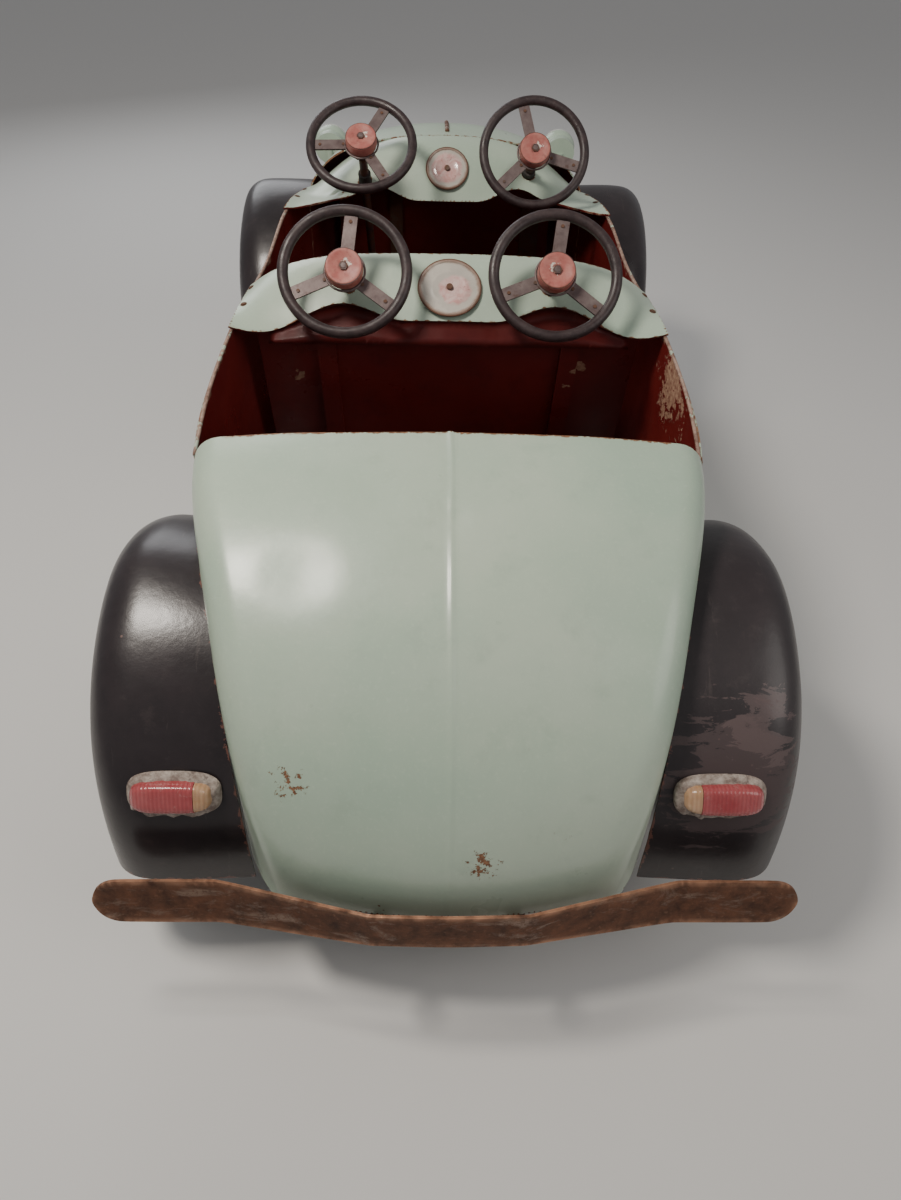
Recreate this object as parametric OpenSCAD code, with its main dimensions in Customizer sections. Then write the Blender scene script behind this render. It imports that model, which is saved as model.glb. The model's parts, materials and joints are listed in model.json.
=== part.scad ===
// Two-row, four-seat children's car with a rounded tail, pressed-sheet body and chain drive.
// Millimetres. X is across the car, Y points forward, Z is up. Stations are counted from the
// rear bumper's rear face and shifted at the end, so the origin is at the middle of the footprint.

/* [Body] */
// Length of the sloping rear deck along Y
deck_run = 518; // [420:1:640]
// Height of the top edge of the deck
deck_top_z = 567; // [480:1:680]
// Height of the lip at the tail's lower end
deck_end_z = 190; // [170:1:230]
// Half width of the body at the top edge of the deck
half_width = 362; // [300:1:440]
// Half width of the body at its front row
front_half_width = 303; // [250:1:360]
// Length of the rear cockpit's opening
cockpit_opening = 223; // [180:1:320]
// Distance between the front and rear rows
row_pitch = 417; // [380:1:560]
// Length from the front row to the nose
front_run = 700; // [600:1:840]
// Thickness of the body sheet
sheet_t = 3; // [2:0.5:4]
// Radius of the tail's rolled side edges
edge_r = 45; // [25:1:60]
// Height of the body's lower edge
sill_z = 150; // [145:1:160]
// Gap left between neighbouring sheets
seam = 1; // [0.6:0.1:1.5]

/* [Fenders] */
// Distance from the centre plane to the outside of a fender
fender_x = 467; // [440:1:560]
// Radius of a fender's outer shoulder
fender_round = 60; // [40:1:80]
// Depth of a fender's outer side below the shoulder
fender_skirt = 62; // [30:1:75]

/* [Steering wheels] */
// Outer diameter of a steering wheel
wheel_d = 205; // [170:1:240]
// Thickness of a steering wheel's rim
rim_t = 17; // [12:1:22]
// Distance of each steering wheel from the centre plane
column_x = 160; // [130:1:180]
// Diameter of a steering column
column_d = 16; // [12:1:20]
// Rake of the two rear columns above level
rear_rake = 44; // [35:1:55]
// Rake of the driver's column above level
driver_rake = 55; // [48:1:60]
// Rake of the front passenger's column above level
passenger_rake = 38; // [30:1:50]

/* [Running gear] */
// Diameter of a road wheel over its tyre
tyre_d = 240; // [200:1:260]
// Width of a tyre
tyre_w = 44; // [30:1:56]
// Distance of each road wheel from the centre plane
track_x = 392; // [372:1:400]
// Diameter of the rear axle and of the crank's shaft
axle_d = 14; // [10:1:18]
// Radial clearance of a running fit
fit = 0.05; // [0.03:0.01:0.09]
// Length of a pedal crank's arm
crank_arm = 62; // [50:1:75]

/* [Bumpers] */
// Height of a bumper's strip
bumper_h = 70; // [50:1:80]
// Thickness of a bumper's strip
bumper_t = 4; // [3:0.5:6]
// Half length of a bumper
bumper_x = 441; // [380:1:470]

/* [Hidden] */
$fn = 48;

// ---- stations along the car, from the rear bumper's rear face ----
tail_end_y = 26;
deck_top_y = tail_end_y + deck_run;
rear_row_y = deck_top_y + cockpit_opening;
front_row_y = rear_row_y + row_pitch;
nose_y = front_row_y + front_run;
overall_length = nose_y + 66;
crest_y = front_row_y + 226;
rear_wheel_y = deck_top_y - 162;
front_wheel_y = front_row_y + 456;
tyre_r = tyre_d / 2;
axle_r = axle_d / 2;
pan_z = 166;
rail_x = 200;
rail_h = 24;
rail_z = pan_z - rail_h - 1;

// ---- curves ----
// Catmull-Rom curve through [position, value] stations
function slope(p, i) = let (a = max(i - 1, 0), b = min(i + 1, len(p) - 1))
    (p[b][1] - p[a][1]) / (p[b][0] - p[a][0]);
function span(p, x, i = 0) = i >= len(p) - 2 || x < p[i + 1][0] ? i : span(p, x, i + 1);
function curve(p, x) = let (i = span(p, x), h = p[i + 1][0] - p[i][0],
    t = min(max((x - p[i][0]) / h, 0), 1), m = slope(p, i) * h, n = slope(p, i + 1) * h)
    p[i][1] * (2 * pow(t, 3) - 3 * t * t + 1) + m * (pow(t, 3) - 2 * t * t + t)
    + p[i + 1][1] * (3 * t * t - 2 * pow(t, 3)) + n * (pow(t, 3) - t * t);
// Half width of the body along the car
plan = [[tail_end_y, 0.59 * half_width], [tail_end_y + 0.16 * deck_run, 0.715 * half_width],
    [tail_end_y + 0.46 * deck_run, 0.835 * half_width], [deck_top_y, half_width],
    [rear_row_y, lookup(0.2, [[0, half_width], [0.5, front_half_width]])],
    [front_row_y, front_half_width], [crest_y, front_half_width - 16],
    [front_wheel_y, front_half_width - 78], [nose_y - 90, front_half_width - 140],
    [nose_y, front_half_width - 170]];
function body_x(y) = curve(plan, y);
// Height of the side walls' upper edge
belt = [[deck_top_y, deck_top_z - 45], [deck_top_y + 0.3 * cockpit_opening, deck_top_z - 14],
    [rear_row_y, deck_top_z + 37], [rear_row_y + 0.6 * row_pitch, deck_top_z + 43],
    [front_row_y, deck_top_z + 72], [crest_y, deck_top_z + 36]];
function belt_z(y) = curve(belt, y);
// Superellipse quarter: fraction along and fraction up at an angle
function quarter(a, p) = [pow(sin(a), 2 / p), pow(cos(a), 2 / p)];
deck_fullness = 1.8;
function deck_point(a) = let (q = quarter(a, deck_fullness))
    [deck_top_y - deck_run * q[0], deck_end_z + (deck_top_z - deck_end_z) * q[1]];
function deck_z(y) = let (f = min(max((deck_top_y - y) / deck_run, 0), 1))
    deck_end_z + (deck_top_z - deck_end_z) * pow(1 - pow(f, deck_fullness), 1 / deck_fullness);
deck_crown = 12;
// Half width of the tail's outside at a station and height
function tail_x(y, z) = let (w = body_x(y), top = deck_z(y) - deck_crown - edge_r)
    z <= top ? w : w - edge_r + sqrt(max(edge_r * edge_r - pow(min(z - top, edge_r), 2), 0));

// ---- sheets ----
function unit(v) = v / max(norm(v), 1e-9);
function at(g, i, j) = g[min(max(i, 0), len(g) - 1)][min(max(j, 0), len(g[0]) - 1)];
function normal(g, i, j) = unit(cross(at(g, i + 1, j) - at(g, i - 1, j), at(g, i, j + 1) - at(g, i, j - 1)));
function flat(g) = [for (row = g) each row];
// Closed sheet of even thickness behind a grid of surface points; turn flips its faces
module sheet(g, t, turn = false) {
    n = len(g); m = len(g[0]); k = n * m;
    back = [for (i = [0:n - 1]) [for (j = [0:m - 1]) g[i][j] - (turn ? -t : t) * normal(g, i, j)]];
    front_faces = [for (i = [0:n - 2]) for (j = [0:m - 2]) let (a = i * m + j)
        each [[a, a + 1, a + m + 1], [a, a + m + 1, a + m]]];
    back_faces = [for (f = front_faces) [f[2] + k, f[1] + k, f[0] + k]];
    rim = concat([for (j = [0:m - 2]) [j, j + 1]], [for (i = [0:n - 2]) [i * m + m - 1, i * m + 2 * m - 1]],
        [for (j = [m - 2:-1:0]) [(n - 1) * m + j + 1, (n - 1) * m + j]], [for (i = [n - 2:-1:0]) [i * m + m, i * m]]);
    rim_faces = [for (e = rim) each [[e[1], e[0], e[0] + k], [e[1], e[0] + k, e[1] + k]]];
    all_faces = concat(front_faces, back_faces, rim_faces);
    polyhedron(concat(flat(g), flat(back)), turn ? all_faces : [for (f = all_faces) [f[2], f[1], f[0]]]);
}
// Puts station coordinates at the origin of the finished car
module placed() translate([0, -overall_length / 2, 0]) children();
module mirrored(side) scale([side, 1, 1]) children();

// ---- tail ----
function tail_section(a) = let (p = deck_point(a), y = p[0], w = body_x(y), z0 = p[1],
    r = min(edge_r, (z0 - deck_crown - sill_z) * 0.8), bow = 34 * pow(sin(a), 4))
    [for (s = concat([for (i = [-1:0.04:1]) i])) let (u = abs(s), g = s < 0 ? -1 : 1,
        q = u < 0.56 ? [(w - r) * u / 0.56, z0 - deck_crown * pow(u / 0.56, 2)]
          : u < 0.83 ? let (b = (u - 0.56) / 0.28 * 90) [w - r + r * sin(b), z0 - deck_crown - r + r * cos(b)]
          : [w, z0 - deck_crown - r - (z0 - deck_crown - r - sill_z) * (u - 0.84) / 0.16])
        [g * q[0], y + bow * pow(q[0] / w, 2), q[1]]];
module tail_shell() color("#b9d6bd") placed() sheet([for (a = [0:4.5:90]) tail_section(a)], sheet_t);

// ---- side walls ----
function wall_grid(side) = [for (y = [deck_top_y + seam:(crest_y - deck_top_y - seam) / 24:crest_y + 0.01])
    [for (t = [0:0.25:1]) [side * body_x(y), y, sill_z + t * (belt_z(y) - sill_z)]]];
module side_panel(side) placed() sheet(wall_grid(side), sheet_t, side < 0);
module side_panel_left() color("#b9d6bd") side_panel(-1);
module side_panel_right() color("#b9d6bd") side_panel(1);

// ---- cowls ----
// A leg arch on each side and a drop for the dial between them
function scallop(u) = 0.5 - 0.5 * cos(360 * min(max((u - 0.20) / 0.66, 0), 1));
// How far a cowl's outer edge stands over the side walls
cowl_rise = sheet_t + 3 * seam;
rear_cowl_far_z = deck_top_z + 105;
rear_cowl_far_y = rear_row_y + 143;
function rear_cowl_point(s, t) = let (u = abs(s),
    near_y = rear_row_y + 34 * (1 - pow(u, 3)) + 26 * scallop(u), far_y = rear_cowl_far_y,
    y = near_y + t * (far_y - near_y), f = (far_y - y) / 143, shoulder = pow(u, 5),
    w = body_x(y))
    [s * w, y, rear_cowl_far_z - 100 * pow(f, 1.7) * (1 - 0.5 * shoulder) - 8 * u * u
        - (rear_cowl_far_z - 8 - belt_z(y) - cowl_rise - 100 * pow(f, 1.7) * 0.5) * shoulder];
front_cowl_top_z = deck_top_z + 146;
function dome_drop(u) = 62 * pow(u, 2.4) + 48 * pow(u, 9);
function front_cowl_point(s, t) = let (u = abs(s),
    near_y = front_row_y + 116 * (1 - pow(u, 3)) + 26 * scallop(u),
    y = near_y + t * (crest_y - near_y), f = (crest_y - y) / 116,
    edge = belt_z(y) + cowl_rise, centre = front_cowl_top_z - 100 * pow(min(f, 1), 2), k = pow(u, 4),
    full = front_cowl_top_z - dome_drop(u) - 100 * pow(min(f, 1), 2) * (1 - u * u))
    [s * body_x(y), y, full * (1 - k) + edge * k];
function column_hub(side, front) = front
    ? [side * column_x, front_row_y + 76, deck_top_z + (side < 0 ? 168 : 160)] : [side * column_x, rear_row_y + 41, deck_top_z + 115];
function rake(side, front) = front ? (side < 0 ? driver_rake : passenger_rake) : rear_rake;
// Frame of a steering column: its Z runs up the column to the seat
module on_column(side, front) placed() translate(column_hub(side, front))
    rotate([90 - rake(side, front), 0, 0]) children();
module cowl_holes(front) for (side = [-1, 1]) translate(column_hub(side, front))
    rotate([90 - rake(side, front), 0, 0]) translate([0, 0, -160]) cylinder(d = bush_d + 2, h = 150);
bush_d = column_d + 8;
bush_l = 44;
module rear_cowl() color("#b9d6bd") placed() difference() {
    sheet([for (t = [0:0.1:1]) [for (s = [-1:0.05:1]) rear_cowl_point(s, t)]], sheet_t, true);
    cowl_holes(false);
}
module front_cowl() color("#b9d6bd") placed() difference() {
    sheet([for (t = [0:0.1:1]) [for (s = [-1:0.05:1]) front_cowl_point(s, t)]], sheet_t, true);
    cowl_holes(true);
}

// ---- bonnet and nose ----
bonnet_run = nose_y - crest_y - seam;
nose_end_z = 235;
bonnet_fullness = 2.3;
function bonnet_section(a) = let (q = quarter(a, bonnet_fullness), y = crest_y + seam + bonnet_run * q[0],
    top = nose_end_z + (front_cowl_top_z - nose_end_z) * q[1], w = body_x(y),
    skew = min(1, (top - sill_z - 40) / 300))
    [for (s = [-1:0.05:1]) let (u = abs(s), g = s < 0 ? -1 : 1, v = min(u / 0.8, 1), d = min(dome_drop(v)
        , top - sill_z - 20) * max(skew, 0.2))
        u <= 0.8 ? [g * w * v, y - 40 * pow(sin(a), 4) * v * v, top - d]
          : [g * w, y - 40 * pow(sin(a), 4), top - d - (top - d - sill_z) * (u - 0.8) / 0.2]];
module bonnet() color("#b9d6bd") placed()
    sheet([for (a = [0:6:90]) bonnet_section(a)], sheet_t, true);
// The frame's horns carry the bumper's bars, which pass the grille on each side
horn_x = 80;
bracket_x = horn_x + 8;
bracket_w = 20;
grille_w = 2 * (bracket_x - bracket_w / 2) - 16;
module grille() color("silver") placed() translate([0, nose_y + 3, 0]) difference() {
    translate([-grille_w / 2, 0, sill_z + 4]) cube([grille_w, 10, 74]);
    for (i = [0:4]) translate([-grille_w / 2 + 12, -1, sill_z + 12 + i * 12]) cube([grille_w - 24, 12, 6]);
}

// ---- inside ----
slot_x = -column_x + 25;
slot_w = 26;
inside_x = front_half_width - 26;
toe_x = front_half_width - 70;
pan_t = 3;
module floor_pan() color("#5c1418") placed() difference() {
    union() {
        translate([-inside_x, deck_top_y + 16, pan_z]) cube([2 * inside_x, crest_y - deck_top_y, pan_t]);
        translate([-toe_x, crest_y, pan_z]) cube([2 * toe_x, 130, pan_t]);
    }
    translate([slot_x - slot_w / 2, deck_top_y, pan_z - 1]) cube([slot_w, 520, pan_t + 2]);
}
bulkhead_lean = 14;
bulkhead_top_y = rear_row_y + 34;
bulkhead_top_z = deck_top_z + 26;
bulkhead_h = (bulkhead_top_z - pan_z - pan_t - seam) / cos(bulkhead_lean);
batten_x = 195;
batten_t = 8;
module seat_bulkhead() color("#7c1a1c") placed() translate([0, bulkhead_top_y, bulkhead_top_z])
    rotate([bulkhead_lean, 0, 0]) difference() {
        union() {
            translate([-front_half_width, 0, -bulkhead_h]) cube([2 * front_half_width, sheet_t, bulkhead_h]);
            for (side = [-1, 1]) translate([side * batten_x - 15, -batten_t, 8 - bulkhead_h])
                cube([30, batten_t, bulkhead_h - 28]);
        }
        translate([slot_x - slot_w / 2, -20, -bulkhead_h - 1]) cube([slot_w, 60, 168]);
    }
seat_z = 300;
module bench(y, depth) color("#7c1a1c") placed() difference() {
    union() {
        translate([-inside_x, y, seat_z]) cube([2 * inside_x, depth, 16]);
        translate([-inside_x, y + depth - 16, pan_z + pan_t + seam])
            cube([2 * inside_x, 16, seat_z - pan_z - pan_t - seam]);
    }
    translate([slot_x - slot_w / 2, y - 1, pan_z]) cube([slot_w, depth + 2, 120]);
}
module front_seat() bench(rear_row_y + 128, 190);
module rear_seat() bench(deck_top_y + 10, 150);

// ---- fenders ----
rear_fender_mid = [rear_wheel_y + 25, 160];
rear_fender_size = [312, 290, 303];
front_fender_mid = [front_wheel_y + 20, 170];
front_fender_size = [330, 226, 375];
// A fender's size is its reach behind and in front of its middle, and its height
fender_fullness = 1.85;
function fender_rim(mid, size, a) = let (q = quarter(abs(a), fender_fullness))
    [mid[0] + (a < 0 ? -size[0] : size[1]) * q[0], mid[1] + size[2] * q[1]];
function rear_rim(a) = fender_rim(rear_fender_mid, rear_fender_size, a);
function fender_point(mid, size, inner, a, s) = let (e = fender_rim(mid, size, a),
    n = unit([mid[0] - e[0], mid[1] - 60 - e[1]]), out = fender_x - 18 * pow(sin(abs(a)), 6),
    b = min(max((s - 0.4) / 0.4, 0), 1) * 90, flat_x = s < 0.4 ? s / 0.4 : 1,
    x = inner + (out - fender_round - inner) * flat_x + fender_round * sin(b)
        - (s > 0.8 ? 8 * (s - 0.8) / 0.2 : 0),
    d = fender_round * (1 - cos(b)) + (s > 0.8 ? fender_skirt * (s - 0.8) / 0.2 : 0) + 6 * pow(1 - flat_x, 2))
    [x, e[0] + n[0] * d, e[1] + n[1] * d];
module fender(side, mid, size, tail) placed() mirrored(side)
    sheet([for (a = [-90:7.5:90]) let (e = fender_rim(mid, size, a),
        inner = max([for (k = [-10:5:10]) tail ? tail_x(e[0] + k, e[1] - 18) : body_x(min(e[0] + k, nose_y))])
            + 1.5 * seam)
        [for (s = [0:0.1:1]) fender_point(mid, size, inner, a, s)]], sheet_t, true);
module rear_fender_left() color("#16161a") fender(-1, rear_fender_mid, rear_fender_size, true);
module rear_fender_right() color("#16161a") fender(1, rear_fender_mid, rear_fender_size, true);
module front_fender_left() color("#16161a") fender(-1, front_fender_mid, front_fender_size, false);
module front_fender_right() color("#16161a") fender(1, front_fender_mid, front_fender_size, false);

// ---- lamps ----
lamp_w = 120;
lamp_h = 60;
lamp_x = 343;
lamp_angle = -61.7;
lamp_on = rear_rim(lamp_angle);
lamp_chord = rear_rim(lamp_angle + 2) - rear_rim(lamp_angle - 2);
lamp_tilt = atan2(lamp_chord[1], lamp_chord[0]);
lamp_seat = 0.8;
// A block with round ends, its back face on the XY plane
module pill(w, h, depth, r) hull() for (x = [-1, 1], z = [0, 1])
    translate([x * (w / 2 - h / 2), 0, z * (depth - r)]) cylinder(d = h - (z > 0 ? 2 * r : 0), h = r, $fn = 32);
module on_lamp(side) placed() translate([side * lamp_x, lamp_on[0], lamp_on[1]])
    rotate([lamp_tilt, 0, 0]) translate([0, 0, lamp_seat]) mirrored(side) children();
module tail_lamp_gaskets() color("#b9b0a4") for (side = [-1, 1]) on_lamp(side)
    pill(lamp_w, lamp_h, 8, 3);
module tail_lamp_lens(side) color("#a32f35") on_lamp(side) translate([9, 0, 8.5]) pill(lamp_w - 34, lamp_h - 14, 18, 8);
module tail_lamp_lens_left() tail_lamp_lens(-1);
module tail_lamp_lens_right() tail_lamp_lens(1);
module tail_lamp_reflectors() color("#d8b48a") for (side = [-1, 1]) on_lamp(side)
    translate([8 - lamp_w / 2, -(lamp_h - 20) / 2, 8.5]) cube([11, lamp_h - 20, 13]);
headlamp_r = 38;
headlamp_l = 90;
headlamp_y = front_wheel_y + 90;
fender_top_z = front_fender_mid[1] + front_fender_size[2] * pow(1 - pow((headlamp_y - front_fender_mid[0] - 45)
    / front_fender_size[1], fender_fullness), 1 / fender_fullness);
headlamp_at = [body_x(front_wheel_y) + headlamp_r + 1, headlamp_y, fender_top_z + 65];
// Bullet shell, its open mouth facing forward, on a short stalk over the fender
module headlamp_shells() color("#b9d6bd") for (side = [-1, 1]) placed() translate([side * headlamp_at[0],
    headlamp_at[1], headlamp_at[2]]) union() {
        rotate([-90, 0, 0]) rotate_extrude() difference() {
            intersection() {
                union() {
                    circle(r = headlamp_r);
                    translate([0, -headlamp_l * 0.5]) square([headlamp_r * 0.86, headlamp_l * 0.5]);
                }
                translate([0, -headlamp_l]) square([headlamp_r + 1, headlamp_l]);
            }
            translate([0, -12]) square([headlamp_r - 7, 20]);
        }
        translate([0, -45, -60]) cylinder(r = 7, h = 60);
    }
module headlamp_lenses() color("#e8e6da") for (side = [-1, 1]) placed()
    translate([side * headlamp_at[0], headlamp_at[1] + 1.5, headlamp_at[2]]) rotate([-90, 0, 0])
        intersection() {
            translate([0, 0, -60]) sphere(r = 76);
            cylinder(r = headlamp_r, h = 40);
        }

// ---- bumpers ----
bumper_z = deck_end_z + 8;
// Plan of a bumper: how far each point stands in front of the rearmost face
bumper_plan = [[0, 0], [96, 0], [285, 34], [bumper_x, 34]];
function bumper_half(x) = let (e = max(abs(x) - (bumper_x - bumper_h / 2), 0))
    max(sqrt(max(pow(bumper_h / 2, 2) - e * e, 0)), 4);
function strip_y(x, t) = let (lean = lookup(x, [[0, 0], [96, 0], [285, 0.22], [bumper_x, 0.22]]))
    lookup(x, bumper_plan) + t * bumper_half(x) * lean + bumper_h / 2 * 0.22 * min(x / 285, 1);
bumper_stops = [0, 48, 84, 92, 96, 104, 160, 220, 277, 285, 293, 340, 398, 408, 417, 424, 430, 434];
bumper_xs = concat([for (i = [len(bumper_stops) - 1:-1:1]) -bumper_stops[i] * bumper_x / 434],
    [for (v = bumper_stops) v * bumper_x / 434]);
module strip(side) sheet([for (x = bumper_xs) [for (t = [-1, 0, 1])
    [x, side * strip_y(abs(x), t), bumper_z + t * bumper_half(x)]]], bumper_t, side < 0);
module rear_bumper() color("#6b4630") placed() strip(1);
module front_bumper() color("#6b4630") placed() translate([0, overall_length, 0]) strip(-1);
bracket_gap = strip_y(bracket_x + bracket_w / 2, 0) + bumper_t + seam;
// Flat bars from the frame's cross member and horns out to the bumpers
module bumper_brackets() color("#3b3532") placed() for (side = [-1, 1])
    translate([side * bracket_x - bracket_w / 2, 0, rail_z + rail_h + seam / 2]) {
        translate([0, bracket_gap, 0]) cube([bracket_w, tail_end_y + 114 - bracket_gap, 5]);
        translate([0, nose_y - 64, 0]) cube([bracket_w, overall_length - bracket_gap - nose_y + 64, 5]);
    }

// ---- dials ----
rear_dial_d = 97;
front_dial_d = 80;
dial_t = 4;
dial_lift = 0.8;
// A dial's seat: a point on a cowl's centre line and the slope of the sheet there
rear_dial_y = rear_row_y + 75;
front_dial_y = front_row_y + 152;
rear_dial_at = let (t = (rear_dial_y - rear_row_y - 34) / (rear_cowl_far_y - rear_row_y - 34))
    [rear_cowl_point(0, t), rear_cowl_point(0, t + 0.01)];
front_dial_at = let (t = (front_dial_y - front_row_y - 116) / (crest_y - front_row_y - 116))
    [front_cowl_point(0, t), front_cowl_point(0, t + 0.01)];
module on_dial(p) placed() translate(p[0])
    rotate([atan2(p[1][2] - p[0][2], p[1][1] - p[0][1]), 0, 0]) translate([0, 0, dial_lift]) children();
module dial(p, d) on_dial(p) difference() {
    cylinder(d = d, h = dial_t);
    translate([0, 0, -1]) cylinder(d = 6.4, h = dial_t + 2);
}
module rear_dial() color("#cdb9b2") dial(rear_dial_at, rear_dial_d);
module front_dial() color("#d9a9a0") dial(front_dial_at, front_dial_d);
module dial_screws() color("#4a3a30") for (p = [rear_dial_at, front_dial_at]) on_dial(p) union() {
    cylinder(d = 6, h = dial_t + 1);
    translate([0, 0, dial_t + 0.3]) cylinder(d = 10, h = 2.5);
}

// ---- chassis ----
rail_end_y = crest_y + 130;
cross_y = [tail_end_y + 110, deck_top_y + 76, front_row_y - 60, rail_end_y - 9, front_wheel_y];
module chassis_frame() color("#26242a") placed() union() {
    for (side = [-1, 1]) {
        translate([side * rail_x - 9, tail_end_y + 40, rail_z])
            cube([18, rail_end_y - tail_end_y - 40, rail_h]);
        translate([side * horn_x - 9, rail_end_y - 18, rail_z]) cube([18, nose_y - 2 - rail_end_y, rail_h]);
    }
    for (y = cross_y) translate([-rail_x, y - 9, rail_z]) cube([2 * rail_x, 18, rail_h]);
}
module block(w, h, bore, depth) translate([-depth / 2, 0, 0]) rotate([90, 0, 90]) difference() {
    translate([-w / 2, -h / 2, 0]) cube([w, h, depth]);
    translate([0, 0, -1]) cylinder(r = bore, h = depth + 2);
}
// Board that closes the footwell under the bonnet, its battens facing the driver
toe_y = rail_end_y - 6;
toe_battens = [[-108, 28], [190, 40]];
function toe_top(x) = let (v = min(abs(x) / body_x(toe_y) / 0.8, 1))
    min(front_cowl_top_z - dome_drop(v), curve(belt, crest_y) + 30 - 40 * v) - 24;
module toe_board() color("#5c1418") difference() {
    placed() translate([0, toe_y, 0]) {
        rotate([90, 0, 0]) linear_extrude(sheet_t) polygon(concat(
            [[-toe_x, pan_z + pan_t + seam]], [for (x = [-toe_x:toe_x / 12:toe_x + 0.1]) [x, toe_top(x)]],
            [[toe_x, pan_z + pan_t + seam]]));
        for (b = toe_battens) translate([b[0] - b[1] / 2, -sheet_t - batten_t, pan_z + pan_t + 4])
            cube([b[1], batten_t, toe_top(b[0] + b[1] / 2) - pan_z - pan_t - 20]);
    }
    on_column(-1, true) translate([0, 0, -column_foot]) cylinder(d = bush_d, h = column_foot - 200);
}
crank_y = crest_y - 10;
crank_z = pan_z + 104;
column_foot = 560;
foot_lean = 90 - driver_rake;
foot_z = column_hub(-1, true)[2] - column_foot * cos(foot_lean);
foot_y = column_hub(-1, true)[1] + column_foot * sin(foot_lean);
// Block that holds the driver's column over the front cross member
module foot_bearing() difference() {
    union() {
        on_column(-1, true) translate([-14, -14, -column_foot - 10]) cube([28, 28, 20]);
        placed() translate([-column_x - 12, foot_y + 2, foot_z - 6])
            cube([24, front_wheel_y + 2 - foot_y, 10]);
        placed() translate([-column_x - 12, front_wheel_y - 2, rail_z + rail_h + seam / 2])
            cube([24, 6, foot_z + 3 - rail_z - rail_h - seam / 2]);
    }
    on_column(-1, true) translate([0, 0, -column_foot - 60]) cylinder(d = column_d + 2 * fit, h = 120);
}
module bearing_blocks() color("#4a4446") {
    foot_bearing();
    placed() {
    for (side = [-1, 1]) translate([side * rail_x, rear_wheel_y, tyre_r])
        block(40, 2 * (rail_z - tyre_r) - 1, axle_r + fit, 24);
    translate([-column_x, crank_y, crank_z]) difference() {
        translate([-14, -16, pan_z + pan_t + seam / 2 - crank_z]) cube([28, 32, crank_z - pan_z + 13]);
        rotate([0, 90, 0]) translate([0, 0, -20]) cylinder(r = axle_r + fit, h = 40);
    }
    }
}
beam_z = tyre_r;
kingpin_x = track_x - 66;
kingpin_r = 5;
module front_axle_beam() color("#26242a") placed() translate([0, front_wheel_y, 0]) difference() {
    union() {
        translate([-kingpin_x, -9, beam_z - 9]) cube([2 * kingpin_x, 18, 18]);
        for (side = [-1, 1]) {
            translate([side * kingpin_x, 0, beam_z - 11]) cylinder(r = 14, h = 22);
            translate([side * horn_x - 9, -9, beam_z]) cube([18, 18, rail_z - beam_z - 0.5]);
        }
    }
    for (side = [-1, 1]) translate([side * kingpin_x, 0, beam_z - 20]) cylinder(r = kingpin_r + fit, h = 40);
}

// ---- chain drive ----
small_r = 26;
large_r = 44;
chain_w = 7;
chain_t = 7;
drive_lean = atan2(crank_z - tyre_r, crank_y - rear_wheel_y);
// Outline of a belt round two wheels that stand a distance apart along X
function belt_outline(r, q, d) = let (k = acos((r - q) / d)) concat(
    [for (i = [0:16]) let (a = k + (360 - 2 * k) * i / 16) [r * cos(a), r * sin(a)]],
    [for (i = [0:16]) let (a = -k + 2 * k * i / 16) [d + q * cos(a), q * sin(a)]]);
module drive_chain() color("#38322e") placed() translate([slot_x, rear_wheel_y, tyre_r])
    rotate([90, 0, 90]) rotate([0, 0, drive_lean]) translate([0, 0, -chain_w / 2]) linear_extrude(chain_w) difference() {
        polygon(belt_outline(small_r + chain_t + 1, large_r + chain_t + 1,
            norm([crank_y - rear_wheel_y, crank_z - tyre_r])));
        polygon(belt_outline(small_r + 1, large_r + 1, norm([crank_y - rear_wheel_y, crank_z - tyre_r])));
    }
module sprocket(r, teeth, bore, hub) rotate([0, 90, 0]) difference() {
    union() {
        translate([0, 0, -2]) linear_extrude(4) polygon([for (i = [0:teeth * 4 - 1])
            let (q = i % 4 < 2 ? r : r - 5, a = i * 90 / teeth) [q * cos(a), q * sin(a)]]);
        translate([0, 0, -6]) cylinder(r = hub, h = 12);
    }
    translate([0, 0, -10]) cylinder(r = bore, h = 20);
}
module axle_sprocket() color("#38322e") placed() translate([slot_x, rear_wheel_y, tyre_r])
    sprocket(small_r, 13, axle_r + 0.02, 13);
module rear_axle() color("#56504e") placed() translate([-track_x - 36, rear_wheel_y, tyre_r])
    rotate([0, 90, 0]) cylinder(r = axle_r, h = 2 * track_x + 72);

// ---- road wheels ----
hub_l = 52;
module tyre(side, y) color("#1c1b1b") placed() translate([side * track_x, y, tyre_r]) rotate([0, 90, 0])
    rotate_extrude() translate([tyre_r - 27, 0]) difference() {
        union() {
            translate([0, -tyre_w / 2 + 8]) square([27, tyre_w - 16]);
            translate([0, -tyre_w / 2]) square([19, tyre_w]);
            for (s = [-1, 1]) translate([19, s * (tyre_w / 2 - 8)]) circle(r = 8);
        }
        translate([-1, -tyre_w / 2 - 1]) square([1.2, tyre_w + 2]);
    }
module disc(side, y, bore) color("#b9d6bd") placed() translate([side * track_x, y, tyre_r]) rotate([0, 90, 0])
    rotate_extrude() union() {
        translate([bore, -hub_l / 2]) square([22 - bore, hub_l]);
        translate([bore, -2]) square([tyre_r - 31 - bore, 4]);
        translate([tyre_r - 32, -tyre_w / 2 + 2]) square([5, tyre_w - 4]);
    }
module tyre_rear_left() tyre(-1, rear_wheel_y);
module tyre_rear_right() tyre(1, rear_wheel_y);
module tyre_front_left() tyre(-1, front_wheel_y);
module tyre_front_right() tyre(1, front_wheel_y);
module disc_rear_left() disc(-1, rear_wheel_y, axle_r + 0.02);
module disc_rear_right() disc(1, rear_wheel_y, axle_r + fit);
module disc_front_left() disc(-1, front_wheel_y, stub_r + fit);
module disc_front_right() disc(1, front_wheel_y, stub_r + fit);

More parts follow.
